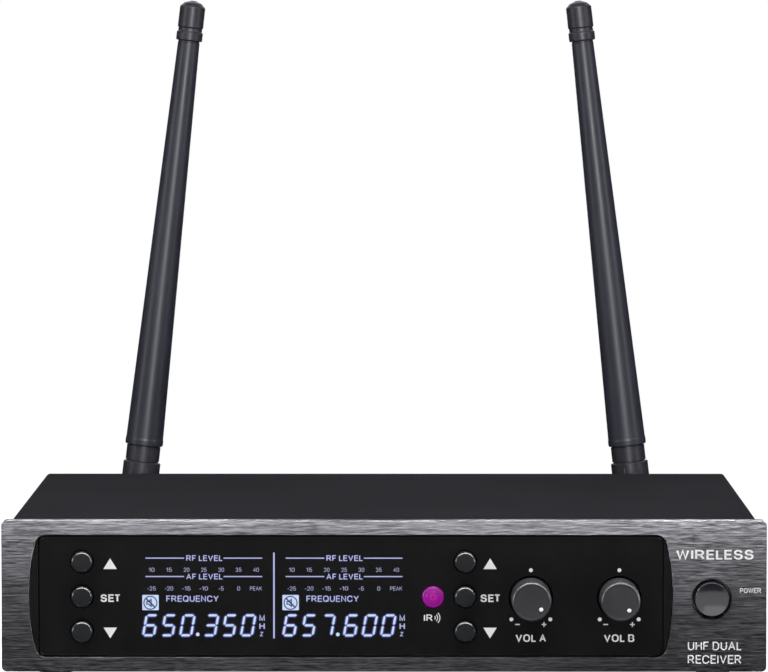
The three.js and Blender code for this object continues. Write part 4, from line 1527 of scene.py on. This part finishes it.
@dataclass
class Controls:
    """The push buttons, the infrared window, the power button and the volume knobs."""

    cap_radius: float = 3.0
    flange_radius: float = 3.8
    flange_depth: Point2 = (6.9, 7.7)
    knob_face: float = 5.35
    knob_base: float = 5.62
    rib_count: int = 44
    pointer_turn: dict[str, float] = field(default_factory=lambda: {"a": 129.0, "b": 135.0})
    pointer_reach: float = 0.62
    power_radius: float = 5.1
    power_flange: Point2 = (6.4, 5.6)
    dish_depth: float = 0.75

    def button(self, node: str) -> Piece:
        """A push button: a flat face in a fine bevel, a tapered side, and a flange and stem behind the bezel.

        Args:
            node: The button's CAD node.

        Returns:
            The piece.
        """
        middle, (low, high) = node_middle(node), node_span(node)
        radius, flange, front, (near, far) = self.cap_radius, self.flange_radius, low.y, self.flange_depth
        profile = softened([(0, front), (radius - 0.52, front + 0.03, 0.1),
                            (radius - 0.27, front + 0.28, 0.1), (radius, front + 1.1, 0.3),
                            (radius, near), (flange, near, 0.1), (flange, far, 0.1),
                            (1.2, far), (1.2, high.y, 0.1), (0, high.y)])
        return painted(turned(f"{node}_cap", profile, depthwise(middle.x, middle.z), 64), Look.BUTTON)

    def infrared(self) -> Piece:
        """The infrared window: a low tinted dome with a groove round its middle."""
        middle, (low, high) = node_middle("infrared_window"), node_span("infrared_window")
        place = depthwise(middle.x, middle.z)
        radius, flange, near = self.cap_radius, self.flange_radius, self.flange_depth[0]
        angles = [i * math.pi / 20 for i in range(11)]
        dome = [(radius * math.sin(a), low.y + 0.75 * (1 - math.cos(a))) for a in angles]
        profile = [*dome[:5], (1.9, low.y + 0.3), *dome[6:], (radius, near), (flange, near),
                   (flange, high.y), (0, high.y)]
        window = painted(turned("window", profile, place, 64), Look.INFRARED)
        front = low.y + 0.02
        button = softened([(0, front - 0.02), (0.9, front, 0.3), (1.25, front + 0.2, 0.1),
                           (1.2, front + 0.5), (0, front + 0.5)])
        eye = painted(turned("eye", button, place, 40), Look.INFRARED_EYE)
        return joined("infrared_dome", [window, eye])

    def power_button(self) -> Piece:
        """The power button: a dished glossy face inside a full round rim."""
        middle, (low, high) = node_middle("power_button"), node_span("power_button")
        radius, front, (flange, near) = self.power_radius, low.y, self.power_flange
        inside = radius - 0.6
        dish = [(inside * i / 12, front + self.dish_depth * (1 - (i / 12) ** 2)) for i in range(12)]
        rim = softened([(inside, front + 0.03), (inside + 0.08, front, 0.04),
                        (inside + 0.18, front + 0.12, 0.08), (radius, front + 1.6, 0.4), (radius, near),
                        (flange, near, 0.1), (flange, high.y, 0.1), (0, high.y)])
        place = depthwise(middle.x, middle.z)
        return painted(turned("power_button_cap", dish + rim, place, 96), Look.POWER)

    def knob(self, channel: str) -> Piece:
        """A volume knob: a bevelled drum with fine grip ribs and a white pointer dot.

        Args:
            channel: The channel's letter.

        Returns:
            The piece.
        """
        x, z = node_middle(f"volume_control_{channel}").x, KNOB_HEIGHT
        low, high = node_span(f"volume_knob_{channel}")
        face, base, front, back = self.knob_face, self.knob_base, low.y, high.y
        profile = softened([(0, front + 0.06), (face - 0.7, front + 0.06, 0.3), (face - 0.5, front, 0.1),
                            (face - 0.36, front, 0.1), (face, front + 0.36, 0.1),
                            (base - 0.12, back - 1.2, 0.4), (base, back - 0.9, 0.2),
                            (base, back - 0.2, 0.15), (base - 0.3, back), (0, back)])
        drum = painted(turned("drum", profile, depthwise(x, z), 96), Look.KNOB)
        values = {"Count": self.rib_count, "Radius": base - 0.32, "Proud": 0.2, "Width": 0.34,
                  "Low": front + 2.6, "High": back - 1.3, "Material": material_of(Look.KNOB)}
        grip = grown("grip", ribs_tree(), values, depthwise(x, z))
        turn, reach = math.radians(self.pointer_turn[channel]), face * self.pointer_reach
        dot_at = (x + math.sin(turn) * reach, z + math.cos(turn) * reach)
        dot = turned("dot", softened([(0, 0.03), (0.55, 0.03, 0.1), (0.62, 0.2), (0, 0.2)], 3),
                     depthwise(*dot_at) @ Matrix.Translation((0, 0, front)), 32)
        return joined(f"volume_knob_{channel}_turned", [drum, grip, painted(dot, Look.INK)])

    def dress(self) -> None:
        """Builds and fixes the controls."""
        for channel in "ab":
            for action in ("up", "set", "down"):
                node = f"button_{action}_{channel}"
                fitted(self.button(node), node, "button_plastic", node)
            fitted(shaded(self.knob(channel)), f"volume_{channel}", "knob_plastic", f"volume_knob_{channel}")
            dressed_node(f"volume_shaft_{channel}", Look.NICKEL)
            dressed_node(f"volume_control_{channel}", Look.SOCKET)
        fitted(self.infrared(), "case", "infrared_plastic", "infrared_window")
        fitted(self.power_button(), "power_button", "button_plastic", "power_button")
        dressed_node("power_plunger", Look.BACKLIGHT)
        dressed_node("power_switch", Look.INSULATOR)


# ---- The antennas ----


class Side(Enum):
    """Which of the two antennas."""

    LEFT = -1
    RIGHT = 1


@dataclass
class Antenna:
    """One antenna: the socket on the rear wall, the bayonet ring, the plug base and the folding whip.

    The whip's heights are measured from the fold pin up the whip, and the connector's depths from the front.
    """

    side: Side
    across: float = 77.5
    height: float = 30.4
    pin_depth: float = 180.25
    lean: float = 6.5
    knuckle_radius: float = 5.75
    knuckle_top: float = 15.0
    collar_top: float = 19.9
    sleeve_bottom: float = 20.2
    sleeve_top: float = 146.0
    tip: float = 159.0
    tongue: float = 2.1
    pin_hole: float = 1.5
    spigot: Point2 = (159.5, 169.0)
    flange: Point2 = (155.3, 157.3)
    mouth: float = 165.0

    @property
    def label(self) -> str:
        """The side's name as the nodes have it."""
        return self.side.name.lower()

    @property
    def connector(self) -> Matrix:
        """The placement of what is turned about the connector's axis: its own Z is the depth."""
        return depthwise(self.side.value * self.across, self.height)

    @property
    def leaning(self) -> Matrix:
        """The placement of the leaning pieces: the fold pin at the origin and the whip up its own Z."""
        turn = Matrix.Rotation(math.radians(-self.side.value * self.lean), 4, "Y")
        return placed(self.side.value * self.across, self.pin_depth, self.height) @ turn

    @property
    def crosswise(self) -> Matrix:
        """The placement of what is turned about the fold pin: its own Z runs along the pin."""
        return self.leaning @ Matrix.Rotation(math.radians(90), 4, "Y")

    @property
    def edgewise(self) -> Matrix:
        """The placement of a flat drawing that is seen along the fold pin."""
        quarter = math.radians(90)
        return self.leaning @ Matrix.Rotation(quarter, 4, "Z") @ Matrix.Rotation(quarter, 4, "X")

    def sleeve(self) -> Piece:
        """The tapered rubber sleeve, with a rolled lip at its foot and a neck at its top."""
        low, high = self.sleeve_bottom, self.sleeve_top
        profile = softened([(2.4, low), (5.62, low, 0.1), (5.85, low + 0.25, 0.2), (5.87, low + 1.6, 0.5),
                            (5.74, low + 2.3, 0.8), (3.38, high, 0.06), (2.4, high), (2.4, low)])
        return painted(turned(f"antenna_sleeve_{self.label}_rubber", profile, self.leaning, 64), Look.SLEEVE)

    def cap(self) -> Piece:
        """The tip: a ring, a groove and a rounded cap."""
        low, top = self.sleeve_top, self.tip
        profile = softened([(0, low - 3.9), (1.95, low - 3.9, 0.1), (1.95, low + 0.02),
                            (3.3, low + 0.02), (3.3, low + 0.5), (3.85, low + 0.5, 0.15),
                            (4.08, low + 0.9, 0.2), (4.08, low + 3.1, 0.25), (3.72, low + 3.45, 0.15),
                            (3.68, low + 4.45, 0.15), (3.98, low + 4.8, 0.25), (3.93, top - 2.0, 0.5),
                            (2.7, top - 0.75, 0.7), (0.7, top, 0.5), (0, top)])
        return painted(turned(f"antenna_tip_{self.label}_cap", profile, self.leaning, 64), Look.ANTENNA)

    def collar(self) -> Piece:
        """The collar under the sleeve, with the radiator's former above it."""
        low, high = self.knuckle_top + GAP, self.collar_top
        profile = softened([(0, low - 0.27), (4.9, low - 0.27), (4.9, low), (5.22, low, 0.06),
                            (5.22, high, 0.08), (4.85, high), (4.85, high + 0.27), (2, high + 0.27),
                            (2, 140, 0.2), (0, 140)])
        return painted(turned(f"antenna_core_{self.label}_former", profile, self.leaning, 64), Look.ANTENNA)

    def knuckle(self) -> Piece:
        """The forked knuckle: a bevelled round column, rounded about the pin, with a panel on its front."""
        radius, top = self.knuckle_radius, self.knuckle_top
        profile = softened([(0, -radius), (radius, -radius), (radius, top - 0.25, 0.1),
                            (radius - 0.3, top, 0.1), (0, top)])
        column = turned(f"antenna_knuckle_{self.label}_fork", profile, self.leaning, 64)
        clear = radius + 2
        ends = [*arc((0, 0), radius, 180, 360, 40),
                (clear, 0), (clear, -clear), (-clear, -clear), (-clear, 0)]
        under = plate("under", ends, (-radius - 1, radius + 1), self.edgewise)
        slot = self.tongue + GAP
        gap = block("gap", (-slot, -10, -10), (slot, 10, 6.5), self.leaning)
        hole = self.pin_hole
        bore = turned("bore", [(0, -8), (hole, -8), (hole, 8), (0, 8)], self.crosswise, 32)
        groove, recess = -self.side.value * 1.9, self.side.value * 2.4
        cuts = [block("groove", (groove - 0.2, -7, -8), (groove + 0.2, -5.05, top - 1.6), self.leaning),
                block("recess", (recess - 1.5, -7, 8.4), (recess + 1.5, -5.0, 12.2), self.leaning)]
        carved(column, under, gap, bore, *cuts)
        return painted(eased(column, 0.22, 2, 45), Look.ANTENNA)

    def base(self) -> Piece:
        """The plug: a spigot and shoulder turned in one with the flat tongue."""
        rear, (start, stop) = self.pin_depth - self.knuckle_radius - 0.4, self.spigot
        profile = softened([(0, start), (3.6, start, 0.2), (3.6, stop), (5.5, stop, 0.4),
                            (5.5, rear, 0.4), (0, rear)])
        plug = turned(f"antenna_base_{self.label}_plug", profile, self.connector, 64)
        back = -(self.pin_depth - rear) - 2
        outline = [*arc((0, 0), 4.8, -90, 90, 24), (back, 4.8), (back, -4.8)]
        hole = circle((0, 0), self.pin_hole, 32)
        tongue = plate("tongue", outline, (-self.tongue, self.tongue), self.edgewise, (hole,))
        return painted(joined(f"antenna_base_{self.label}_plug", [plug, eased(tongue, 0.3, 2)]), Look.ANTENNA)

    def pin(self) -> Piece:
        """The fold pin, with domed ends."""
        profile = softened([(0, -5.2), (0.7, -5.2, 0.3), (1.2, -4.8, 0.3), (1.2, 4.8, 0.3),
                            (0.7, 5.2, 0.3), (0, 5.2)])
        return painted(turned(f"antenna_pin_{self.label}_steel", profile, self.crosswise, 40), Look.NICKEL)

    def ring(self) -> Piece:
        """The bayonet ring, with a knurled grip between two plain lands."""
        profile = softened([(5.1, 158), (6.7, 158, 0.3), (6.9, 158.4, 0.2), (6.9, 160.2, 0.2),
                            (6.95, 160.6, 0.1), (6.95, 167.2, 0.1), (6.9, 167.6, 0.2), (6.5, 168.7, 0.3),
                            (3.9, 168.7), (3.9, 166), (5.1, 166), (5.1, 158)], 4)
        sleeve = painted(turned("sleeve", profile, self.connector, 72), Look.NICKEL)
        values = {"Count": 48, "Radius": 6.93, "Proud": 0.24, "Width": 0.42, "Low": 160.8, "High": 167.0,
                  "Material": material_of(Look.NICKEL)}
        grip = grown("knurl", ribs_tree(), values, self.connector)
        return joined(f"coupling_ring_{self.label}_knurled", [sleeve, grip])

    def socket(self) -> Piece:
        """The socket's barrel, with turned rings for a thread and the hexagonal flange against the wall."""
        near, mouth = self.flange[0], self.mouth
        rings = [(4.8 - 0.25 * (i % 2), 149.2 + 0.35 * i) for i in range(17)]
        profile = [(0, 147), (1.5, 147), (1.5, 149), (4.6, 149), *rings, (4.8, near), (4.8, mouth - 0.4),
                   (4.6, mouth), (4, mouth), (4, 158.6), (1.1, 158.6), (1.1, 158.7), (0, 158.7)]
        barrel = turned("barrel", profile, self.connector, 64)
        flange = plate("flange", circle((0, 0), 8, 6), self.flange, self.connector)
        body = joined(f"antenna_socket_{self.label}_body", [barrel, eased(flange, 0.3, 2)])
        return painted(body, Look.NICKEL)

    def dress(self) -> None:
        """Builds and fixes the antenna's pieces."""
        name, whip, mount = self.label, f"antenna_whip_{self.label}", f"antenna_mount_{self.label}"
        fitted(self.sleeve(), whip, "sleeve_rubber", f"antenna_sleeve_{name}")
        fitted(self.cap(), whip, "antenna_plastic", f"antenna_tip_{name}")
        fitted(self.collar(), whip, "antenna_plastic", f"antenna_core_{name}")
        fitted(self.knuckle(), whip, "antenna_plastic", f"antenna_knuckle_{name}")
        fitted(self.base(), mount, "antenna_plastic", f"antenna_base_{name}")
        fitted(self.pin(), mount, "nickel", f"antenna_pin_{name}")
        fitted(shaded(self.ring()), f"coupling_ring_{name}", "nickel", f"coupling_ring_{name}")
        fitted(shaded(self.socket()), "case", "nickel", f"antenna_socket_{name}")
        dressed_node(f"antenna_lead_{name}", Look.JACKET)


# ---- The rear sockets and the inside ----


@dataclass
class RearSockets:
    """The two balanced outputs, the mix jack, the power inlet and the printing beside them."""

    wall: float = 155.0
    inner_wall: float = 153.7
    bore: float = 9.4
    shell_outside: float = 11.7
    screw_hole: Point3 = (9.5, 12.0, 1.6)
    pin_circle: float = 4.4
    jack_bore: float = 3.3
    inlet_bore: float = 3.1

    def output_shell(self, channel: str) -> Piece:
        """A cast output shell: a square flange with a raised lip round the bore and two screw holes.

        Args:
            channel: The channel's letter.

        Returns:
            The piece.
        """
        node = f"output_shell_{channel}"
        middle, (low, high) = node_middle(node), node_span(node)
        x, z, rear = middle.x, middle.z, high.y
        drawing = facing_back(x, 0, z)
        outline = rounded_box((low.x - x, low.z - z), (high.x - x, high.z - z), 4, 8)
        across, up, hole = self.screw_hole
        holes = (circle((0, 0), self.bore, 72), circle((across, up), hole, 24),
                 circle((-across, -up), hole, 24))
        flange = eased(plate("flange", outline, (rear - 2, rear - 0.35), drawing, holes), 0.4, 3)
        bore, outside, seat = self.bore, self.shell_outside, low.y + 2.3
        profile = softened([(bore, seat), (6, seat), (6, low.y), (outside, low.y, 0.3),
                            (outside, rear - 1), (10.9, rear - 1), (10.7, rear, 0.3),
                            (bore, rear, 0.3), (bore, seat)])
        barrel = turned("barrel", profile, depthwise(x, z), 72)
        return painted(joined(f"{node}_casting", [flange, barrel]), Look.SOCKET)

    def output_pins(self, channel: str) -> Piece:
        """The insulator with its three plated pins and the guide key above them.

        Args:
            channel: The channel's letter.

        Returns:
            The piece.
        """
        node = f"output_pins_{channel}"
        middle = node_middle(f"output_shell_{channel}")
        x, z = middle.x, middle.z
        disc = turned("disc", softened([(0, 138), (5.7, 138, 0.2), (5.7, 143.6), (9.1, 143.6, 0.2),
                                        (9.1, 147, 0.3), (0, 147)]), depthwise(x, z), 64)
        key = eased(block("key", (-1.6, 7.6, 147), (1.6, 9.0, 154), facing_back(x, 0, z)), 0.3, 2)
        pieces = [painted(disc, Look.INSULATOR), painted(key, Look.INSULATOR)]
        pin = softened([(0, 146.5), (1.2, 146.5), (1.2, 155.4, 0.5), (0.5, 156, 0.3), (0, 156)])
        tail = softened([(0, 134), (0.8, 134, 0.2), (0.8, 138.5), (0, 138.5)])
        for degrees in (90, 210, 330):
            turn = math.radians(degrees)
            place = depthwise(x + self.pin_circle * math.cos(turn), z - self.pin_circle * math.sin(turn))
            pieces.append(painted(turned("pin", pin, place, 28), Look.NICKEL))
            pieces.append(painted(turned("tail", tail, place, 20), Look.NICKEL))
        return joined(f"{node}_fitted", pieces)

    def jack(self) -> Piece:
        """The mix jack: a moulded body with a threaded, chamfered bushing."""
        middle, (low, high), bore = node_middle("mix_jack"), node_span("mix_jack"), self.jack_bore
        place = depthwise(middle.x, middle.z)
        near = (low.x - middle.x, low.z - middle.z, low.y)
        far = (high.x - middle.x, high.z - middle.z, self.inner_wall)
        body = eased(block("body", near, far, facing_back(middle.x, 0, middle.z)), 0.5, 2)
        body = carved(body, turned("bore", [(0, 130), (bore, 130), (bore, 170), (0, 170)], place, 48))
        thread = [(5.4 - 0.28 * (i % 2), 155.2 + 0.4 * i) for i in range(13)]
        profile = [(bore, 153), (5.1, 153), *thread, (5.0, high.y - 0.3), (4.6, high.y), (3.7, high.y),
                   (bore, high.y - 0.5), (bore, 153)]
        bushing = turned("bushing", profile, place, 64)
        pieces = [painted(shaded(body), Look.INSULATOR), painted(bushing, Look.INSULATOR)]
        return joined("mix_jack_moulding", pieces)

    def jack_nut(self) -> Piece:
        """The jack's hexagonal nut, with eased corners."""
        middle, (low, high) = node_middle("mix_jack"), node_span("mix_jack_nut")
        place, hole = depthwise(middle.x, middle.z), circle((0, 0), 5.7, 48)
        hexagon = plate("mix_jack_nut_plated", circle((0, 0), 8.2, 6), (low.y, high.y), place, (hole,))
        return painted(eased(hexagon, 0.35, 3), Look.NICKEL)

    def power_inlet(self) -> Piece:
        """The direct current inlet: a round mouth with its centre pin."""
        middle, (low, high), bore = node_middle("dc_input"), node_span("dc_input"), self.inlet_bore
        place = depthwise(middle.x, middle.z)
        near, far = (-5.5, -6, low.y), (5.5, 6, self.inner_wall)
        body = eased(block("body", near, far, facing_back(middle.x, 0, middle.z)), 0.4, 2)
        body = carved(body, turned("bore", [(0, 146), (bore, 146), (bore, 170), (0, 170)], place, 48))
        mouth = softened([(bore, 153), (5.2, 153), (5.2, high.y, 0.4), (3.5, high.y, 0.2),
                          (bore, high.y - 0.5, 0.1), (bore, 153)])
        pin = softened([(0, 145.5), (1.05, 145.5), (1.05, high.y - 1.7, 0.4), (0, high.y - 1.5)])
        pieces = [painted(shaded(body), Look.INSULATOR),
                  painted(turned("mouth", mouth, place, 56), Look.INSULATOR),
                  painted(turned("pin", pin, place, 28), Look.NICKEL)]
        return joined("dc_input_moulding", pieces)

    def printing(self) -> Piece:
        """The generic wording on the rear wall."""
        drawing = facing_back(0, self.wall, 0)
        lines = [Legend("OUT A", (-38.0, 4.9), 1.6, 7.0), Legend("OUT B", (-8.0, 4.9), 1.6, 7.0),
                 Legend("MIX OUT", (20.0, 11.2), 1.6, 9.6), Legend("DC IN", (42.0, 11.2), 1.6, 6.6),
                 Legend("ANT A", (-77.5, 17.6), 1.6, 7.0), Legend("ANT B", (77.5, 17.6), 1.6, 7.0)]
        return painted(joined("rear_printing", [line.piece(drawing) for line in lines]), Look.INK)

    def dress(self) -> None:
        """Builds and fixes the rear sockets."""
        for channel in "ab":
            fitted(shaded(self.output_shell(channel)), "case", "dark_metal", f"output_shell_{channel}")
            fitted(shaded(self.output_pins(channel)), "case", "switch_body", f"output_pins_{channel}")
        fitted(shaded(self.jack()), "case", "switch_body", "mix_jack")
        fitted(self.jack_nut(), "case", "nickel", "mix_jack_nut")
        fitted(shaded(self.power_inlet()), "case", "switch_body", "dc_input")
        fitted(self.printing(), "case", "backlight_plastic")


@dataclass
class Inside:
    """What the case hides: the boards, the radio modules and the small power parts."""

    looks: dict[str, tuple[Look, str]] = field(default_factory=lambda: {
        "control_board": (Look.BOARD, "circuit_board"),
        "main_board": (Look.BOARD, "circuit_board"),
        "radio_module_a": (Look.TIN, "shield_can"),
        "radio_module_b": (Look.TIN, "shield_can"),
        "regulator_heat_sink": (Look.SCREW, "dark_metal"),
        "filter_capacitor": (Look.INSULATOR, "switch_body"),
        "ribbon_cable": (Look.JACKET, "cable_jacket"),
    })

    def dress(self) -> None:
        """Gives each hidden piece its finish."""
        for node, (look, slot) in self.looks.items():
            dressed_node(node, look)


# ---- The studio ----


@dataclass(frozen=True)
class Softbox:
    """A rectangular soft light. Its place, aim and size are in millimetres, and its power is in watts."""

    name: str
    place: Point3
    aim: Point3
    size: Point2
    power: float

    def hang(self, *lit: str) -> None:
        """Puts the light up.

        Args:
            lit: The only pieces that it lights; with none, it lights everything.
        """
        light = bpy.data.lights.new(self.name, "AREA")
        light.shape = "RECTANGLE"
        light.size, light.size_y = self.size[0] * MM, self.size[1] * MM
        light.energy = self.power
        lamp = bpy.data.objects.new(self.name, light)
        bpy.context.scene.collection.objects.link(lamp)
        here, there = spot(*self.place), spot(*self.aim)
        lamp.location = here
        lamp.rotation_mode = "QUATERNION"
        lamp.rotation_quaternion = (there - here).to_track_quat("-Z", "Y")
        lamp.visible_camera = False
        if lit:
            receivers = bpy.data.collections.new(f"{self.name}_lights")
            for name in lit:
                receivers.objects.link(bpy.data.objects[name])
            lamp.light_linking.receiver_collection = receivers


@dataclass
class Studio:
    """The pale floor, the soft lights and the camera."""

    camera_place: Point3 = (4.0, -1435.0, 182.0)
    pitch: float = 3.46
    focal_length: float = 244.0
    sensor: float = 36.0
    floor_radius: float = 6.0
    floor_lift: float = 0.8
    shade_reach: Point2 = (150.0, 450.0)
    # The floor as reflected carries a painted shadow, from the first tone close in front of the case to the
    # second further out.
    painted_shadow_tones: Point2 = (0.01, 0.25)
    painted_shadow_reach: Point2 = (30.0, 700.0)
    paper: Rgb = (0.85, 0.85, 0.85)
    surround: Rgb = (0.95, 0.97, 1.0)
    surround_strength: float = 0.04

    def floor(self) -> None:
        """A wide white floor, which shades softly under the case and shows a painted shadow in its reflection
        close in front of it.
        """
        shape = bmesh.new()
        bmesh.ops.create_circle(shape, cap_ends=True, radius=self.floor_radius, segments=96)
        mesh = bpy.data.meshes.new("floor")
        shape.to_mesh(mesh)
        shape.free()
        mesh.materials.append(self.floor_material())
        floor = new_piece("floor", mesh)

    def floor_material(self) -> bpy.types.Material:
        """Paper that takes soft shade near the middle, is plain white further out, and in reflections shows a
        painted shadow near the case.
        """
        shader = Shader("white floor")
        shader.tree.nodes.remove(shader.surface)
        place = shader.add("TexCoord").outputs["Object"]
        path = shader.add("LightPath").outputs
        split = shader.add("SeparateXYZ", {"Vector": place})
        reach = shader.add("VectorMath", {0: place}, operation="LENGTH").outputs["Value"]
        far = shader.between(reach, 0.0, 1.0, *(reach_mm * MM for reach_mm in self.shade_reach))
        paper = shader.add("BsdfDiffuse", {"Color": (*self.paper, 1)}).outputs[0]
        lift = shader.add("Emission", {"Strength": self.floor_lift}).outputs[0]
        white = shader.add("Emission", {"Strength": 1.0}).outputs[0]
        lit = shader.add("AddShader", {0: paper, 1: lift}).outputs[0]
        seen = shader.add("MixShader", {0: far, 1: lit, 2: white}).outputs[0]
        # Painted shadow: glossy rays see emission that is dim close in front of the case and brighter further
        # out.
        ends = (FACE_Y - reach_mm * MM for reach_mm in self.painted_shadow_reach)
        ahead = shader.between(split.outputs["Y"], *self.painted_shadow_tones, *ends)
        mirrored = shader.add("Emission", {"Strength": ahead}).outputs[0]
        indirect = shader.add("MixShader", {0: path["Is Glossy Ray"], 1: paper, 2: mirrored}).outputs[0]
        shown = shader.add("MixShader", {0: path["Is Camera Ray"], 1: indirect, 2: seen}).outputs[0]
        shader.tree.links.new(shown, shader.tree.nodes["Material Output"].inputs["Surface"])
        return shader.material

    def surroundings(self) -> None:
        """White behind the object, and dim grey for what it reflects."""
        world = bpy.data.worlds.new("studio")
        bpy.context.scene.world = world
        world.use_nodes = True
        nodes, links = world.node_tree.nodes, world.node_tree.links
        nodes.clear()
        path = nodes.new("ShaderNodeLightPath")
        white, dim = nodes.new("ShaderNodeBackground"), nodes.new("ShaderNodeBackground")
        white.inputs["Color"].default_value = (1, 1, 1, 1)
        white.inputs["Strength"].default_value = 1.0
        dim.inputs["Color"].default_value = (*self.surround, 1)
        dim.inputs["Strength"].default_value = self.surround_strength
        pick = nodes.new("ShaderNodeMixShader")
        links.new(path.outputs["Is Camera Ray"], pick.inputs[0])
        links.new(dim.outputs[0], pick.inputs[1])
        links.new(white.outputs[0], pick.inputs[2])
        out = nodes.new("ShaderNodeOutputWorld")
        links.new(pick.outputs[0], out.inputs[0])

    def lights(self) -> None:
        """An overhead key, soft fills all round, and lights that each reach only the pieces they are for."""
        kinds = ("sleeve_{}_rubber", "tip_{}_cap", "core_{}_former", "knuckle_{}_fork")
        whips = [f"antenna_{kind.format(side.name.lower())}" for kind in kinds for side in Side]
        meshes = [piece.name for piece in bpy.data.objects if piece.type == "MESH"]
        body = [name for name in meshes if name not in whips]
        rear = [name for name in body if name not in ("top_cover_sheet", "front_panel_plate", "floor")]
        caps = [f"button_{action}_{channel}_cap" for channel in "ab" for action in ("up", "set", "down")]
        rims = [*caps, "volume_knob_a_turned", "volume_knob_b_turned", "power_button_cap"]
        power = node_middle("power_button").x
        Softbox("key", (0, -250, 800), (0, 60, 20), (900, 200), 6).hang()
        Softbox("front_fill", (0, -1500, 500), (0, 0, 40), (1400, 500), 3.5).hang()
        Softbox("tall_front", (130, -1500, 430), (0, 180, 120), (130, 760), 15).hang(*whips)
        Softbox("tall_rear", (0, 1500, 250), (0, 180, 120), (800, 900), 8).hang(*whips)
        for side in Side:
            x, name = side.value * 900, side.name
            Softbox(f"strip_{name}", (x, -250, 300), (0, 150, 90), (250, 900), 2).hang()
            Softbox(f"side_fill_{name}", (x, 150, 160), (0, 90, 30), (900, 300), 6).hang(*body)
        Softbox("back", (0, 1000, 900), (0, 100, 40), (1400, 500), 3.5).hang()
        Softbox("rear_fill", (0, 1500, 330), (0, 180, 60), (1500, 600), 12).hang(*rear)
        Softbox("panel_strip", (0, -32, 68), (0, 0, 34), (250, 8), 1.6).hang("front_panel_plate")
        Softbox("control_strip", (60, -36, 280), (60, -2, 22), (700, 24), 1.5).hang(*rims)
        Softbox("power_glow", (power, -52, 35), (power, 0, 35), (130, 78), 0.052).hang("power_button_cap")

    def camera(self) -> None:
        """The camera: far back, low and with a long lens."""
        data = bpy.data.cameras.new("camera")
        data.lens, data.sensor_width = self.focal_length, self.sensor
        data.clip_start, data.clip_end = 0.05, 40
        camera = bpy.data.objects.new("camera", data)
        bpy.context.scene.collection.objects.link(camera)
        camera.location = spot(*self.camera_place)
        yaw = math.atan2(self.camera_place[0], -self.camera_place[1])
        camera.rotation_euler = (math.radians(90 - self.pitch), 0, yaw)
        bpy.context.scene.camera = camera

    def dress(self) -> None:
        """Sets up the whole studio."""
        self.camera()
        self.floor()
        self.surroundings()
        self.lights()
        bpy.context.scene.view_settings.view_transform = "Standard"


def main() -> None:
    """Builds the sub-assemblies in order."""
    logging.basicConfig(level=logging.INFO, format="%(name)s: %(message)s")
    window = WindowShape()
    Case().dress()
    FrontPanel(window).dress()
    Display(window).dress()
    Controls().dress()
    for side in Side:
        Antenna(side).dress()
    RearSockets().dress()
    Inside().dress()
    Studio().dress()


if __name__ == "__main__":
    main()
